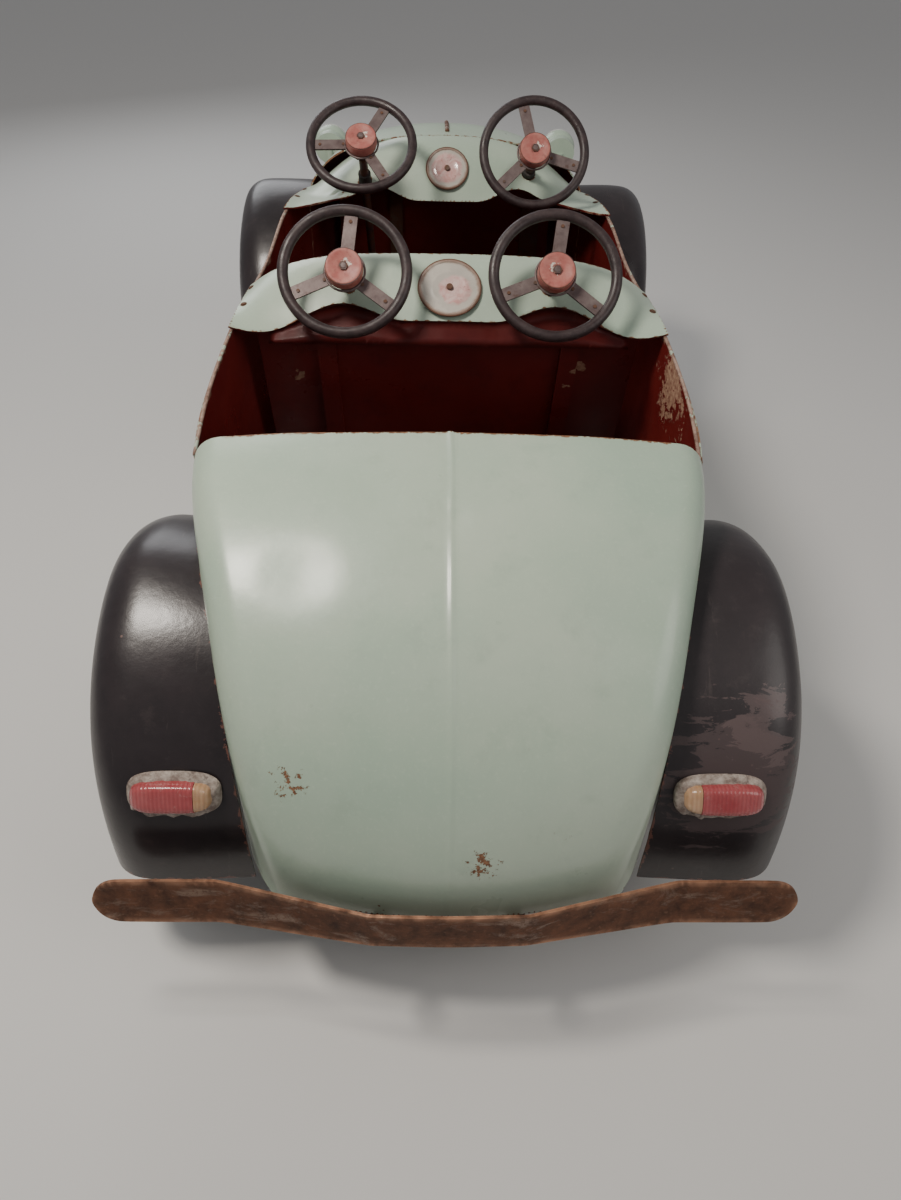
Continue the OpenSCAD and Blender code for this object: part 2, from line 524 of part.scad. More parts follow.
// ---- front knuckles and steering ----
stub_r = 7;
arm_l = 75;
arm_pin_r = 4;
arm_turn = 4 + arm_l * (1 - cos(26));
module knuckle(side) color("#3a3536") placed() translate([side * kingpin_x, front_wheel_y, tyre_r])
    mirrored(side) union() {
        for (z = [-23, 12]) translate([-12, -11, z]) cube([38, 22, 11]);
        translate([20, -11, -23]) cube([8, 22, 46]);
        translate([0, 0, -20]) cylinder(r = kingpin_r, h = 40);
        translate([24, 0, 0]) rotate([0, 90, 0]) cylinder(r = stub_r, h = track_x - kingpin_x + hub_l / 2 - 18);
        translate([track_x - kingpin_x + hub_l / 2 + 0.8, 0, 0]) rotate([0, 90, 0]) cylinder(r = 11, h = 7);
        translate([-12, -arm_l - 8, -23]) cube([16, arm_l, 8]);
        translate([-4, -arm_l, -20]) cylinder(r = arm_pin_r, h = 22);
    }
module knuckle_left() knuckle(-1);
module knuckle_right() knuckle(1);
tie_y = front_wheel_y - arm_l;
tie_x = kingpin_x - 4;
module tie_rod() color("#3a3536") placed() translate([0, tie_y, tyre_r - 8]) difference() {
    union() {
        translate([-tie_x + 20, -5, -4]) cube([2 * tie_x - 40, 10, 8]);
        for (side = [-1, 1]) translate([side * tie_x - 20, -13, -4]) cube([40, 34, 8]);
        for (s = [-1, 1]) translate([-column_x + s * 17 - 3, -10, -4]) cube([6, 58, 92]);
    }
    for (side = [-1, 1]) translate([side * tie_x - arm_pin_r - 3, -arm_pin_r - 2, -5])
        cube([2 * arm_pin_r + 6, 2 * arm_pin_r + 4 + arm_turn, 12]);
}
module column_bushes() color("#8a7f74") {
    for (front = [false, true], side = [-1, 1]) on_column(side, front)
        translate([0, 0, (front ? -100 : -50) - bush_l / 2]) difference() {
            cylinder(d = bush_d, h = bush_l);
            translate([0, 0, -1]) cylinder(d = column_d + 2 * fit, h = bush_l + 2);
        }
}

// ---- steering wheels ----
hub_r = 28;
spoke_w = 20;
module steering_rim(side, front) color("#3a2a2c") on_column(side, front)
    rotate_extrude() translate([(wheel_d - rim_t) / 2, 0]) circle(d = rim_t);
module steering_spider(side, front, turn) color("#6a5f5a") on_column(side, front) rotate([0, 0, turn]) {
    difference() {
        union() {
            translate([0, 0, -3]) cylinder(r = hub_r - 2, h = 4);
            for (a = [0, 120, 240]) rotate([0, 0, a]) translate([10, -spoke_w / 2, -3])
                cube([wheel_d / 2 - rim_t - 10.2, spoke_w, 4]);
        }
        translate([0, 0, -10]) cylinder(d = column_d + 0.04, h = 20);
    }
}
module steering_column(side, front, reach) color("#9c3b39") on_column(side, front) union() {
    translate([0, 0, -reach]) cylinder(d = column_d, h = reach + 2);
    translate([0, 0, 1.3]) cylinder(r = hub_r, h = 20);
    translate([0, 0, 21]) cylinder(r = 7, h = 3, $fn = 6);
    translate([0, 0, -16]) cylinder(r = hub_r - 6, h = 12.7);
}
module steering_rim_rear_left() steering_rim(-1, false);
module steering_rim_rear_right() steering_rim(1, false);
module steering_rim_front_left() steering_rim(-1, true);
module steering_rim_front_right() steering_rim(1, true);
module steering_spider_rear_left() steering_spider(-1, false, 84);
module steering_spider_rear_right() steering_spider(1, false, 82);
module steering_spider_front_left() steering_spider(-1, true, 62);
module steering_spider_front_right() steering_spider(1, true, 104);
module steering_column_rear_left() steering_column(-1, false, 90);
module steering_column_rear_right() steering_column(1, false, 90);
drop_arm = 50;
module steering_column_front_left() color("#9c3b39") union() {
    steering_column(-1, true, column_foot + 60);
    on_column(-1, true) translate([-6, -drop_arm, -column_foot - 60]) cube([12, drop_arm, 9]);
    on_column(-1, true) translate([0, -drop_arm, -column_foot - 100]) cylinder(r = 7, h = 49);
}
module steering_column_front_right() steering_column(1, true, 160);

// ---- pedals ----
pedal_x = 32;
pedal_w = 56;
spindle_r = 5;
module pedal_crank() color("#7d7573") placed() translate([-column_x, crank_y, crank_z]) union() {
    rotate([0, 90, 0]) translate([0, 0, -38]) cylinder(r = axle_r, h = 76);
    for (side = [-1, 1]) mirrored(side) {
        translate([pedal_x, side < 0 ? -8 : -crank_arm - 8, -8]) cube([8, crank_arm + 16, 16]);
        translate([pedal_x + 6, side < 0 ? crank_arm : -crank_arm, 0]) rotate([0, 90, 0])
            cylinder(r = spindle_r, h = pedal_w + 12);
    }
    translate([slot_x + column_x, 0, 0]) sprocket(large_r, 22, axle_r - 1, 12);
}
module pedal(side) color("#242222") placed() translate([-column_x, crank_y - side * crank_arm, crank_z])
    mirrored(side) translate([pedal_x + 10, 0, 0]) difference() {
        translate([0, -26, -10]) cube([pedal_w, 52, 20]);
        rotate([0, 90, 0]) translate([0, 0, -1]) cylinder(r = spindle_r + fit, h = pedal_w + 2);
    }
module pedal_left() pedal(-1);
module pedal_right() pedal(1);

// ---- output ----
floor_pan();
toe_board();
tail_shell();
side_panel_left();
side_panel_right();
rear_cowl();
front_cowl();
bonnet();
grille();
seat_bulkhead();
front_seat();
rear_seat();
rear_fender_left();
rear_fender_right();
front_fender_left();
front_fender_right();
tail_lamp_gaskets();
tail_lamp_lens_left();
tail_lamp_lens_right();
tail_lamp_reflectors();
headlamp_shells();
headlamp_lenses();
rear_bumper();
front_bumper();
bumper_brackets();
rear_dial();
front_dial();
dial_screws();
chassis_frame();
bearing_blocks();
front_axle_beam();
drive_chain();
column_bushes();
steering_rim_rear_left();
steering_spider_rear_left();
steering_column_rear_left();
steering_rim_rear_right();
steering_spider_rear_right();
steering_column_rear_right();
steering_rim_front_left();
steering_spider_front_left();
steering_column_front_left();
steering_rim_front_right();
steering_spider_front_right();
steering_column_front_right();
rear_axle();
axle_sprocket();
tyre_rear_left();
disc_rear_left();
tyre_rear_right();
disc_rear_right();
knuckle_left();
knuckle_right();
tyre_front_left();
disc_front_left();
tyre_front_right();
disc_front_right();
tie_rod();
pedal_crank();
pedal_left();
pedal_right();
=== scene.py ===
"""A two-row children's pedal car: pressed-sheet body, separate fenders, four steering wheels.

Metres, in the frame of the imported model: X across the car, Y forward, Z up.
"""
import json
import math
import random

import bmesh
import bpy
from mathutils import Matrix, Vector, kdtree, noise


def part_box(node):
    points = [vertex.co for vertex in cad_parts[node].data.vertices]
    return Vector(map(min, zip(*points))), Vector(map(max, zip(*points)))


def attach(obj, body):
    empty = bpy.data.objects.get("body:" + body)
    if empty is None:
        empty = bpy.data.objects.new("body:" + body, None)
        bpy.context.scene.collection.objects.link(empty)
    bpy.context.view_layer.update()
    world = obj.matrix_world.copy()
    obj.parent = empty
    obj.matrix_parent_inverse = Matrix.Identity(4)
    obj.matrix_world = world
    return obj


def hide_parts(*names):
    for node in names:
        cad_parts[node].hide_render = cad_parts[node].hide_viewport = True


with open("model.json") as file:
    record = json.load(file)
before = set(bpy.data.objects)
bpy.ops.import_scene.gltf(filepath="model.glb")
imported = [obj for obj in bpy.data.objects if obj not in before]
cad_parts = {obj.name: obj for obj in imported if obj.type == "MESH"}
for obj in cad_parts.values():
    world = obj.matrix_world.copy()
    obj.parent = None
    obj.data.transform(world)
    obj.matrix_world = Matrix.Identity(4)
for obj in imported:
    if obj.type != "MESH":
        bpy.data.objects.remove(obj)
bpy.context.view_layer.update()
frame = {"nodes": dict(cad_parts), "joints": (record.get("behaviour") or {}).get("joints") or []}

# ---- studio -------------------------------------------------------------------------------
# A pale floor, a small warm lamp over the tail, a broad one behind on the right and another
# ahead, and the camera behind and above the car, looking down its length.
floor_mesh = bpy.data.meshes.new("floor")
floor_mesh.from_pydata([(-9, -7, 0), (9, -7, 0), (9, 11, 0), (-9, 11, 0)], [], [(0, 1, 2, 3)])
floor = bpy.data.objects.new("floor", floor_mesh)
bpy.context.collection.objects.link(floor)
floor_paint = bpy.data.materials.new("floor_paint")
floor_paint.use_nodes = True
floor_paint.node_tree.nodes["Principled BSDF"].inputs["Base Color"].default_value = (0.70, 0.69, 0.67, 1)
floor_paint.node_tree.nodes["Principled BSDF"].inputs["Roughness"].default_value = 0.85
floor.data.materials.append(floor_paint)


def lamp(name, at, look, size, power, tint):
    data = bpy.data.lights.new(name, "AREA")
    data.shape, data.size, data.energy, data.color = "DISK", size, power, tint
    thing = bpy.data.objects.new(name, data)
    thing.location = at
    thing.rotation_euler = (Vector(look) - Vector(at)).to_track_quat("-Z", "Y").to_euler()
    bpy.context.collection.objects.link(thing)


lamp("key_lamp", (-0.95, -0.56, 2.35), (-0.08, -0.38, 0.4), 0.55, 38, (1.0, 0.93, 0.84))
lamp("fill_lamp", (2.4, -1.6, 2.2), (0.0, -0.2, 0.3), 2.0, 26, (1.0, 0.95, 0.9))
lamp("front_lamp", (-1.2, 2.6, 1.9), (0.0, 0.4, 0.4), 1.8, 22, (0.95, 0.97, 1.0))
world = bpy.data.worlds.new("world")
world.use_nodes = True
world.node_tree.nodes["Background"].inputs["Color"].default_value = (0.93, 0.93, 0.95, 1)
world.node_tree.nodes["Background"].inputs["Strength"].default_value = 0.28
bpy.context.scene.world = world

CAMERA_AT = Vector((-0.029, -1.5105, 1.235))
CAMERA_YAW, CAMERA_DOWN, CAMERA_ROLL = math.radians(1.93), math.radians(42.3), math.radians(1.87)
FOCAL_OF_HEIGHT = 0.75
forward = Vector((math.sin(CAMERA_YAW) * math.cos(CAMERA_DOWN),
                  math.cos(CAMERA_YAW) * math.cos(CAMERA_DOWN), -math.sin(CAMERA_DOWN)))
level = Vector((math.cos(CAMERA_YAW), -math.sin(CAMERA_YAW), 0))
upright = level.cross(forward)
right = math.cos(CAMERA_ROLL) * level + math.sin(CAMERA_ROLL) * upright
above = -math.sin(CAMERA_ROLL) * level + math.cos(CAMERA_ROLL) * upright
camera_data = bpy.data.cameras.new("camera")
camera = bpy.data.objects.new("camera", camera_data)
camera_data.sensor_fit = "VERTICAL"
camera_data.sensor_height = 24
camera_data.sensor_width = 24
camera_data.lens = 24 * FOCAL_OF_HEIGHT
camera.matrix_world = Matrix((
    (right.x, above.x, -forward.x, CAMERA_AT.x), (right.y, above.y, -forward.y, CAMERA_AT.y),
    (right.z, above.z, -forward.z, CAMERA_AT.z), (0, 0, 0, 1)))
bpy.context.collection.objects.link(camera)
bpy.context.scene.camera = camera

# ---- tail ---------------------------------------------------------------------------------
# One drawn sheet from the cockpit's rear edge down to the bumper, dressed by hand and
# painted mint green over a welded centre joint, which shows as a low ridge.
MINT = (0.405, 0.520, 0.405)


class Paint:
    """Builds one procedural finish; each step adds nodes and returns an output socket."""

    def __init__(self, name):
        self.material = bpy.data.materials.new(name)
        self.material.use_nodes = True
        self.tree = self.material.node_tree
        self.shader = self.tree.nodes["Principled BSDF"]
        self.place = self.node("ShaderNodeTexCoord").outputs["Object"]

    def node(self, kind, **values):
        made = self.tree.nodes.new(kind)
        for key, value in values.items():
            setattr(made, key, value)
        return made

    def feed(self, socket, value):
        if isinstance(value, bpy.types.NodeSocket):
            self.tree.links.new(value, socket)
        elif isinstance(value, tuple) and len(value) == 3 and socket.type == "RGBA":
            socket.default_value = (*value, 1)
        else:
            socket.default_value = value

    def stretched(self, scale, at=(0, 0, 0), turn=(0, 0, 0)):
        mapping = self.node("ShaderNodeMapping")
        self.feed(mapping.inputs["Vector"], self.place)
        self.feed(mapping.inputs["Scale"], scale)
        self.feed(mapping.inputs["Location"], at)
        self.feed(mapping.inputs["Rotation"], turn)
        return mapping.outputs["Vector"]

    def noise(self, scale, detail=4, rough=0.55, place=None, twist=0.0):
        made = self.node("ShaderNodeTexNoise")
        self.feed(made.inputs["Vector"], place or self.place)
        for key, value in (("Scale", scale), ("Detail", detail), ("Roughness", rough), ("Distortion", twist)):
            self.feed(made.inputs[key], value)
        return made.outputs["Fac"]

    def cells(self, scale):
        made = self.node("ShaderNodeTexVoronoi")
        self.feed(made.inputs["Vector"], self.place)
        self.feed(made.inputs["Scale"], scale)
        return made.outputs["Distance"]

    def ramp(self, value, low, high, to_low=0.0, to_high=1.0):
        made = self.node("ShaderNodeMapRange")
        for key, given in (("Value", value), ("From Min", low), ("From Max", high),
                           ("To Min", to_low), ("To Max", to_high)):
            self.feed(made.inputs[key], given)
        return made.outputs["Result"]

    def math(self, kind, a, b=0.0):
        made = self.node("ShaderNodeMath", operation=kind)
        self.feed(made.inputs[0], a)
        self.feed(made.inputs[1], b)
        return made.outputs[0]

    def times(self, a, b):
        return self.math("MULTIPLY", a, b)

    def plus(self, a, b):
        return self.math("ADD", a, b)

    def most(self, a, b):
        return self.math("MAXIMUM", a, b)

    def past(self, value, limit):
        """1 where a value is over a limit, 0 elsewhere."""
        return self.math("GREATER_THAN", value, limit)

    def torn(self, patch, crumbs, low, high, limit):
        """A patch whose border is broken up by a finer pattern: 1 inside, 0 outside."""
        return self.past(self.plus(patch, self.ramp(crumbs, 0.3, 0.7, low, high)), limit)

    def without(self, share):
        """What a share leaves of 1."""
        return self.math("SUBTRACT", 1.0, share)

    def mix(self, a, b, share):
        made = self.node("ShaderNodeMix", data_type="RGBA")
        self.feed(made.inputs[0], share)
        self.feed(made.inputs[6], a)
        self.feed(made.inputs[7], b)
        return made.outputs[2]

    def level(self, a, b, share):
        made = self.node("ShaderNodeMix", data_type="FLOAT")
        self.feed(made.inputs[0], share)
        self.feed(made.inputs[2], a)
        self.feed(made.inputs[3], b)
        return made.outputs[0]

    def held(self, name):
        return self.node("ShaderNodeAttribute", attribute_name=name).outputs["Fac"]

    def axis(self, letter):
        made = self.node("ShaderNodeSeparateXYZ")
        self.feed(made.inputs[0], self.place)
        return made.outputs[letter]

    def spot(self, centre, radius, soft=0.35, ragged=0.0, scale=60):
        """1 inside a round patch, 0 outside, with a ragged border."""
        far = self.node("ShaderNodeVectorMath", operation="DISTANCE")
        self.feed(far.inputs[0], self.place)
        self.feed(far.inputs[1], centre)
        distance = far.outputs["Value"]
        if ragged:
            distance = self.plus(distance, self.ramp(self.noise(scale), 0.3, 0.7, -ragged, ragged))
        return self.ramp(distance, radius, radius * (1 - soft))

    def bump(self, height, distance, strength=1.0, base=None):
        made = self.node("ShaderNodeBump")
        self.feed(made.inputs["Height"], height)
        made.inputs["Distance"].default_value = distance
        made.inputs["Strength"].default_value = strength
        if base:
            self.feed(made.inputs["Normal"], base)
        return made.outputs["Normal"]

    def finish(self, colour=None, rough=None, metal=None, normal=None, **even):
        for name, value in (("Base Color", colour), ("Roughness", rough),
                            ("Metallic", metal), ("Normal", normal)):
            if value is not None:
                self.feed(self.shader.inputs[name], value)
        for name, value in even.items():
            self.shader.inputs[name.replace("_", " ")].default_value = value
        return self.material


def body_paint(name, colour, faded, rust_low=0.0, flaked=()):
    """Sprayed and hand-repaired enamel: faded cloudily, dull where rubbed, rusting at its edges."""
    p = Paint(name)
    cloud = p.noise(3.2, 5, 0.6)
    shade = p.mix(colour, faded, p.ramp(cloud, 0.38, 0.66))
    grime = p.noise(16, 6, 0.65)
    shade = p.mix(shade, tuple(c * 0.80 for c in colour), p.ramp(grime, 0.55, 0.78, 0, 0.45))
    fine = p.noise(190, 3, 0.6)
    shade = p.mix(shade, tuple(min(1, c * 1.12) for c in faded), p.ramp(fine, 0.55, 0.75, 0, 0.35))
    edge = p.held("rim")
    broken = p.noise(95, 5, 0.7)
    bare = p.past(p.plus(p.times(edge, 0.52), broken), 0.90)
    speck = p.times(p.ramp(p.cells(48), 0.12, 0.05), p.ramp(p.noise(9, 3), 0.60, 0.66))
    speck = p.times(speck, p.ramp(p.noise(30, 2), 0.52, 0.56))
    low = p.ramp(p.axis("Z"), 0.42, 0.30)
    speck = p.times(speck, p.plus(p.times(low, rust_low), 0.25))
    worn = p.most(bare, speck)
    for centre, radius in flaked:
        flake = p.torn(p.spot(centre, radius, 0.8), p.noise(120, 5, 0.75), -0.60, 0.45, 0.80)
        worn = p.most(worn, flake)
    rust = p.mix((0.13, 0.050, 0.024), (0.34, 0.17, 0.085), p.ramp(p.noise(260, 3), 0.35, 0.7))
    stain = p.ramp(p.plus(p.times(edge, 0.34), p.noise(34, 4, 0.7)), 0.74, 0.98, 0, 0.75)
    shade = p.mix(shade, (0.30, 0.20, 0.12), stain)
    shade = p.mix(shade, rust, worn)
    peel = p.bump(p.noise(60, 2, 0.5), 0.0006, 0.35)
    grain = p.bump(p.noise(520, 2, 0.5), 0.00012, 0.5, peel)
    chip = p.bump(p.without(worn), 0.0004, 0.9, grain)
    gloss = p.level(p.ramp(p.noise(11, 4), 0.3, 0.75, 0.27, 0.44), 0.85, p.most(worn, p.times(stain, 0.6)))
    return p.finish(shade, gloss, normal=chip, Coat_Weight=0.22, Coat_Roughness=0.16)


def evaluated(thing, name):
    """A new object that holds what the modifiers of another one make; the first is removed."""
    ready = thing.evaluated_get(bpy.context.evaluated_depsgraph_get())
    mesh = bpy.data.meshes.new_from_object(ready)
    bpy.data.objects.remove(thing, do_unlink=True)
    made = bpy.data.objects.new(name, mesh)
    bpy.context.collection.objects.link(made)
    return made


def piece_of(name, work, sharp=None):
    """A smooth-shaded object made from a bmesh, which is freed; edges past sharp stay hard."""
    mesh = bpy.data.meshes.new(name)
    work.to_mesh(mesh)
    work.free()
    mesh.shade_smooth()
    if sharp:
        mesh.set_sharp_from_angle(angle=math.radians(sharp))
    made = bpy.data.objects.new(name, mesh)
    bpy.context.collection.objects.link(made)
    return made


def pressing(node, name, levels=2, cuts=(), crease_over=40, rim_reach=0.006):
    """A smooth copy of a node's sheet, with a rim attribute that fades away from its cut edges."""
    source = frame["nodes"][node].data
    shell = bmesh.new()
    shell.from_mesh(source)
    bmesh.ops.remove_doubles(shell, verts=shell.verts, dist=2e-5)
    bmesh.ops.dissolve_degenerate(shell, edges=shell.edges, dist=1e-5)
    bmesh.ops.join_triangles(shell, faces=shell.faces, angle_face_threshold=math.radians(30),
                             angle_shape_threshold=math.radians(70))
    crease = shell.edges.layers.float.new("crease_edge")
    corners = []
    for edge in shell.edges:
        if len(edge.link_faces) == 2 and edge.calc_face_angle(0) > math.radians(crease_over):
            edge[crease] = 1
            corners.append([edge.verts[0].co.copy(), edge.verts[1].co.copy()])
    mesh = bpy.data.meshes.new(name)
    shell.to_mesh(mesh)
    shell.free()
    thing = bpy.data.objects.new(name + "_cage", mesh)
    bpy.context.collection.objects.link(thing)
    smooth = thing.modifiers.new("smooth", "SUBSURF")
    smooth.levels = smooth.render_levels = levels
    thing = evaluated(thing, name)
    if cuts:
        work = bmesh.new()
        work.from_mesh(thing.data)
        for point, axis in cuts:
            bmesh.ops.bisect_plane(work, geom=work.verts[:] + work.edges[:] + work.faces[:],
                                   plane_co=point, plane_no=axis, dist=1e-6)
        work.to_mesh(thing.data)
        work.free()
    near = kdtree.KDTree(sum(max(2, int((b - a).length / 0.004)) for a, b in corners) + 1)
    index = 0
    for a, b in corners:
        steps = max(2, int((b - a).length / 0.004))
        for i in range(steps):
            near.insert(a.lerp(b, i / (steps - 1)), index)
            index += 1
    near.insert((9, 9, 9), index)
    near.balance()
    rim = thing.data.attributes.new("rim", "FLOAT", "POINT")
    rim.data.foreach_set("value", [math.exp(-near.find(v.co)[2] / rim_reach) for v in thing.data.vertices])
    thing.data.shade_smooth()
    thing.data.set_sharp_from_angle(angle=math.radians(38))
    return thing


def dressed(thing, wave, pitch, seed, dents=()):
    """Moves a sheet's points up and down a little, as hand beating and knocks leave it."""
    facing = [v.normal.z for v in thing.data.vertices]
    for v, up in zip(thing.data.vertices, facing):
        if abs(up) < 0.3:
            continue
        shift = wave * noise.noise(v.co * pitch + Vector((seed, seed, 0)))
        for centre, radius, depth in dents:
            away = (v.co - Vector(centre)).length / radius
            if away < 1:
                shift -= depth * (1 - away * away) ** 2
        v.co.z += shift
    thing.data.update()


def fitted(thing, material, slot, *nodes, body="root"):
    """Gives a piece its finish, its body and the nodes it stands for."""
    thing.data.materials.clear()
    thing.data.materials.append(material)
    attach(thing, body)
    if nodes:
        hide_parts(*nodes)
    return thing


mint_tail = body_paint("mint_tail", MINT, (0.49, 0.575, 0.46), rust_low=1.0, flaked=[
    ((-0.20, -0.88, 0.36), 0.055), ((0.04, -0.94, 0.28), 0.05), ((0.14, -0.93, 0.31), 0.05)])
mint = body_paint("mint", (0.40, 0.505, 0.40), (0.485, 0.56, 0.455), rust_low=0.3)
tail_low, tail_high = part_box("tail_shell")
joint_cuts = [((x, 0, 0), (1, 0, 0)) for x in (-0.012, -0.006, -0.003, -0.0012, 0.0012, 0.003, 0.006, 0.012)]
tail = pressing("tail_shell", "tail_skin", 2, joint_cuts, rim_reach=0.005)
dressed(tail, 0.0016, 7.0, 3.1, dents=[
    ((0.0, tail_high.y - 0.16, 0.55), 0.035, 0.0035), ((-0.19, -0.66, 0.50), 0.07, 0.003),
    ((0.21, -0.72, 0.47), 0.06, 0.0025), ((-0.10, -0.56, 0.55), 0.05, 0.002)])
for v in tail.data.vertices:
    if v.co.z > tail_low.z + 0.03:
        wander = 0.0012 * noise.noise(Vector((0, v.co.y * 9, 0)))
        v.co.z += 0.0019 * math.exp(-((v.co.x - wander) / 0.0042) ** 2)
tail.data.update()
fitted(tail, mint_tail, "mint_paint", "tail_shell")

# ---- side walls ---------------------------------------------------------------------------
# Two long sheets from the tail to the bonnet, mint outside and dark red inside, with their
# upper edges rolled over a wire that the hands have rubbed bare.
def oxblood(name, bare_at=()):
    p = Paint(name)
    shade = p.mix((0.120, 0.0105, 0.0095), (0.175, 0.019, 0.016), p.ramp(p.noise(5, 5), 0.35, 0.7))
    shade = p.mix(shade, (0.055, 0.008, 0.008), p.ramp(p.noise(13, 6, 0.7), 0.52, 0.8, 0, 0.7))
    drip = p.noise(1.0, 5, 0.6, p.stretched((45, 45, 5)))
    shade = p.mix(shade, (0.13, 0.03, 0.024), p.ramp(drip, 0.56, 0.8, 0, 0.4))
    worn = p.past(p.plus(p.times(p.held("rim"), 0.40), p.noise(60, 6, 0.72)), 0.84)
    for centre, radius in bare_at:
        rubbed_through = p.torn(p.spot(centre, radius, 0.8, 0.02, 30), p.noise(85, 6, 0.72), -0.45, 0.45, 0.62)
        worn = p.most(worn, rubbed_through)
    bare = p.mix((0.23, 0.105, 0.065), (0.42, 0.26, 0.17), p.ramp(p.noise(140, 4), 0.35, 0.65))
    shade = p.mix(shade, bare, worn)
    lift = p.bump(p.without(worn), 0.0005, 0.8, p.bump(p.noise(38, 3), 0.0008, 0.4))
    gloss = p.level(p.ramp(p.noise(9, 4), 0.3, 0.7, 0.24, 0.46), 0.8, worn)
    return p.finish(shade, gloss, normal=lift)


def wire_rim(name, path, radius, material, slot, ring=10):
    """A rolled edge: a round bead that follows a path."""
    work = bmesh.new()
    rings = []
    for i, point in enumerate(path):
        along = (path[min(i + 1, len(path) - 1)] - path[max(i - 1, 0)]).normalized()
        side = along.cross(Vector((0, 0, 1))).normalized()
        lift = side.cross(along)
        rings.append([work.verts.new(point + radius * (
            math.cos(math.tau * k / ring) * side + math.sin(math.tau * k / ring) * lift)) for k in range(ring)])
    for a, b in zip(rings, rings[1:]):
        for k in range(ring):
            work.faces.new((a[k], a[(k + 1) % ring], b[(k + 1) % ring], b[k]))
    work.faces.new(rings[0][::-1])
    work.faces.new(rings[-1])
    bmesh.ops.recalc_face_normals(work, faces=work.faces)
    return fitted(piece_of(name, work), material, slot)


def rubbed_edge():
    p = Paint("rubbed_edge")
    shade = p.mix((0.15, 0.078, 0.055), (0.42, 0.29, 0.23), p.ramp(p.noise(70, 5, 0.7), 0.35, 0.65))
    shade = p.mix(shade, (0.40, 0.46, 0.37), p.past(p.noise(38, 5, 0.7), 0.60))
    return p.finish(shade, p.ramp(p.noise(120), 0.3, 0.7, 0.4, 0.75),
                    normal=p.bump(p.noise(240, 4), 0.0005, 0.7))


rubbed = rubbed_edge()
deck_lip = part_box("tail_shell")[1].y
cowl_low, cowl_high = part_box("rear_cowl")
front_cowl_low, front_cowl_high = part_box("front_cowl")
red_inside = oxblood("red_inside", [((0.322, -0.275, 0.545), 0.10), ((0.285, 0.08, 0.56), 0.05)])
for side, word in ((-1, "left"), (1, "right")):
    node = "side_panel_" + word
    wall = pressing(node, node + "_skin", 2, rim_reach=0.004)
    fitted(wall, mint, "mint_paint", node)
    wall.data.materials.append(red_inside)
    for face in wall.data.polygons:
        face.material_index = 1 if face.normal.x * side < -0.3 else 0
    crest = {}
    for v in frame["nodes"][node].data.vertices:
        key = round(v.co.y, 4)
        if key not in crest or v.co.z > crest[key].z + 1e-4:
            crest[key] = v.co.copy()
    rows = [crest[k] for k in sorted(crest)]
    for _ in range(8):
        rows = rows[:1] + [(a + 2 * b + c) / 4 for a, b, c in zip(rows, rows[1:], rows[2:])] + rows[-1:]
    inset = Vector((-side * 0.0015, 0, 0.0005))
    for part, low, high in (("rear", deck_lip, cowl_low.y + 0.012),
                            ("front", cowl_high.y - 0.005, front_cowl_low.y + 0.02)):
        picked = [r + inset for r in rows if low <= r.y <= high]
        path = [a.lerp(b, t / 4) for a, b in zip(picked, picked[1:]) for t in range(4)] + [picked[-1]]
        wire_rim(f"rolled_edge_{part}_{word}", path, 0.0028, rubbed, "mint_paint")

# ---- cowls --------------------------------------------------------------------------------
# A pressed dash over each row of knees, scalloped for the legs and bored for two columns.
for node in ("rear_cowl", "front_cowl"):
    cowl = pressing(node, node + "_skin", 2, rim_reach=0.004)
    dressed(cowl, 0.0008, 12, 5.0)
    fitted(cowl, mint, "mint_paint", node)
    cowl.data.materials.append(red_inside)
    for face in cowl.data.polygons:
        out = face.center - Vector((0, face.center.y, 0.36))
        face.material_index = 1 if face.normal.dot(out.normalized()) < -0.2 else 0

# ---- bonnet and nose ----------------------------------------------------------------------
# A long pressed hood that falls to a barred opening, with a plated ridge bead on the middle.
bonnet = pressing("bonnet", "bonnet_skin", 2, [((x, 0, 0), (1, 0, 0)) for x in (-0.006, -0.002, 0.002, 0.006)])
dressed(bonnet, 0.0014, 6.0, 9.4)
fitted(bonnet, mint, "mint_paint", "bonnet")
bonnet.data.materials.append(red_inside)
for face in bonnet.data.polygons:
    out = face.center - Vector((0, front_cowl_high.y, 0.25))
    face.material_index = 1 if face.normal.dot(out.normalized()) < -0.1 else 0
ridge_path = []
for i in range(60):
    y = front_cowl_high.y + 0.030 + i / 59 * (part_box("bonnet")[1].y - front_cowl_high.y - 0.048)
    hit, point, normal, face = bonnet.ray_cast(Vector((0, y, 1.2)), Vector((0, 0, -1)))
    if hit and point.z > 0.33:
        ridge_path.append(point + Vector((0, 0, 0.001)))


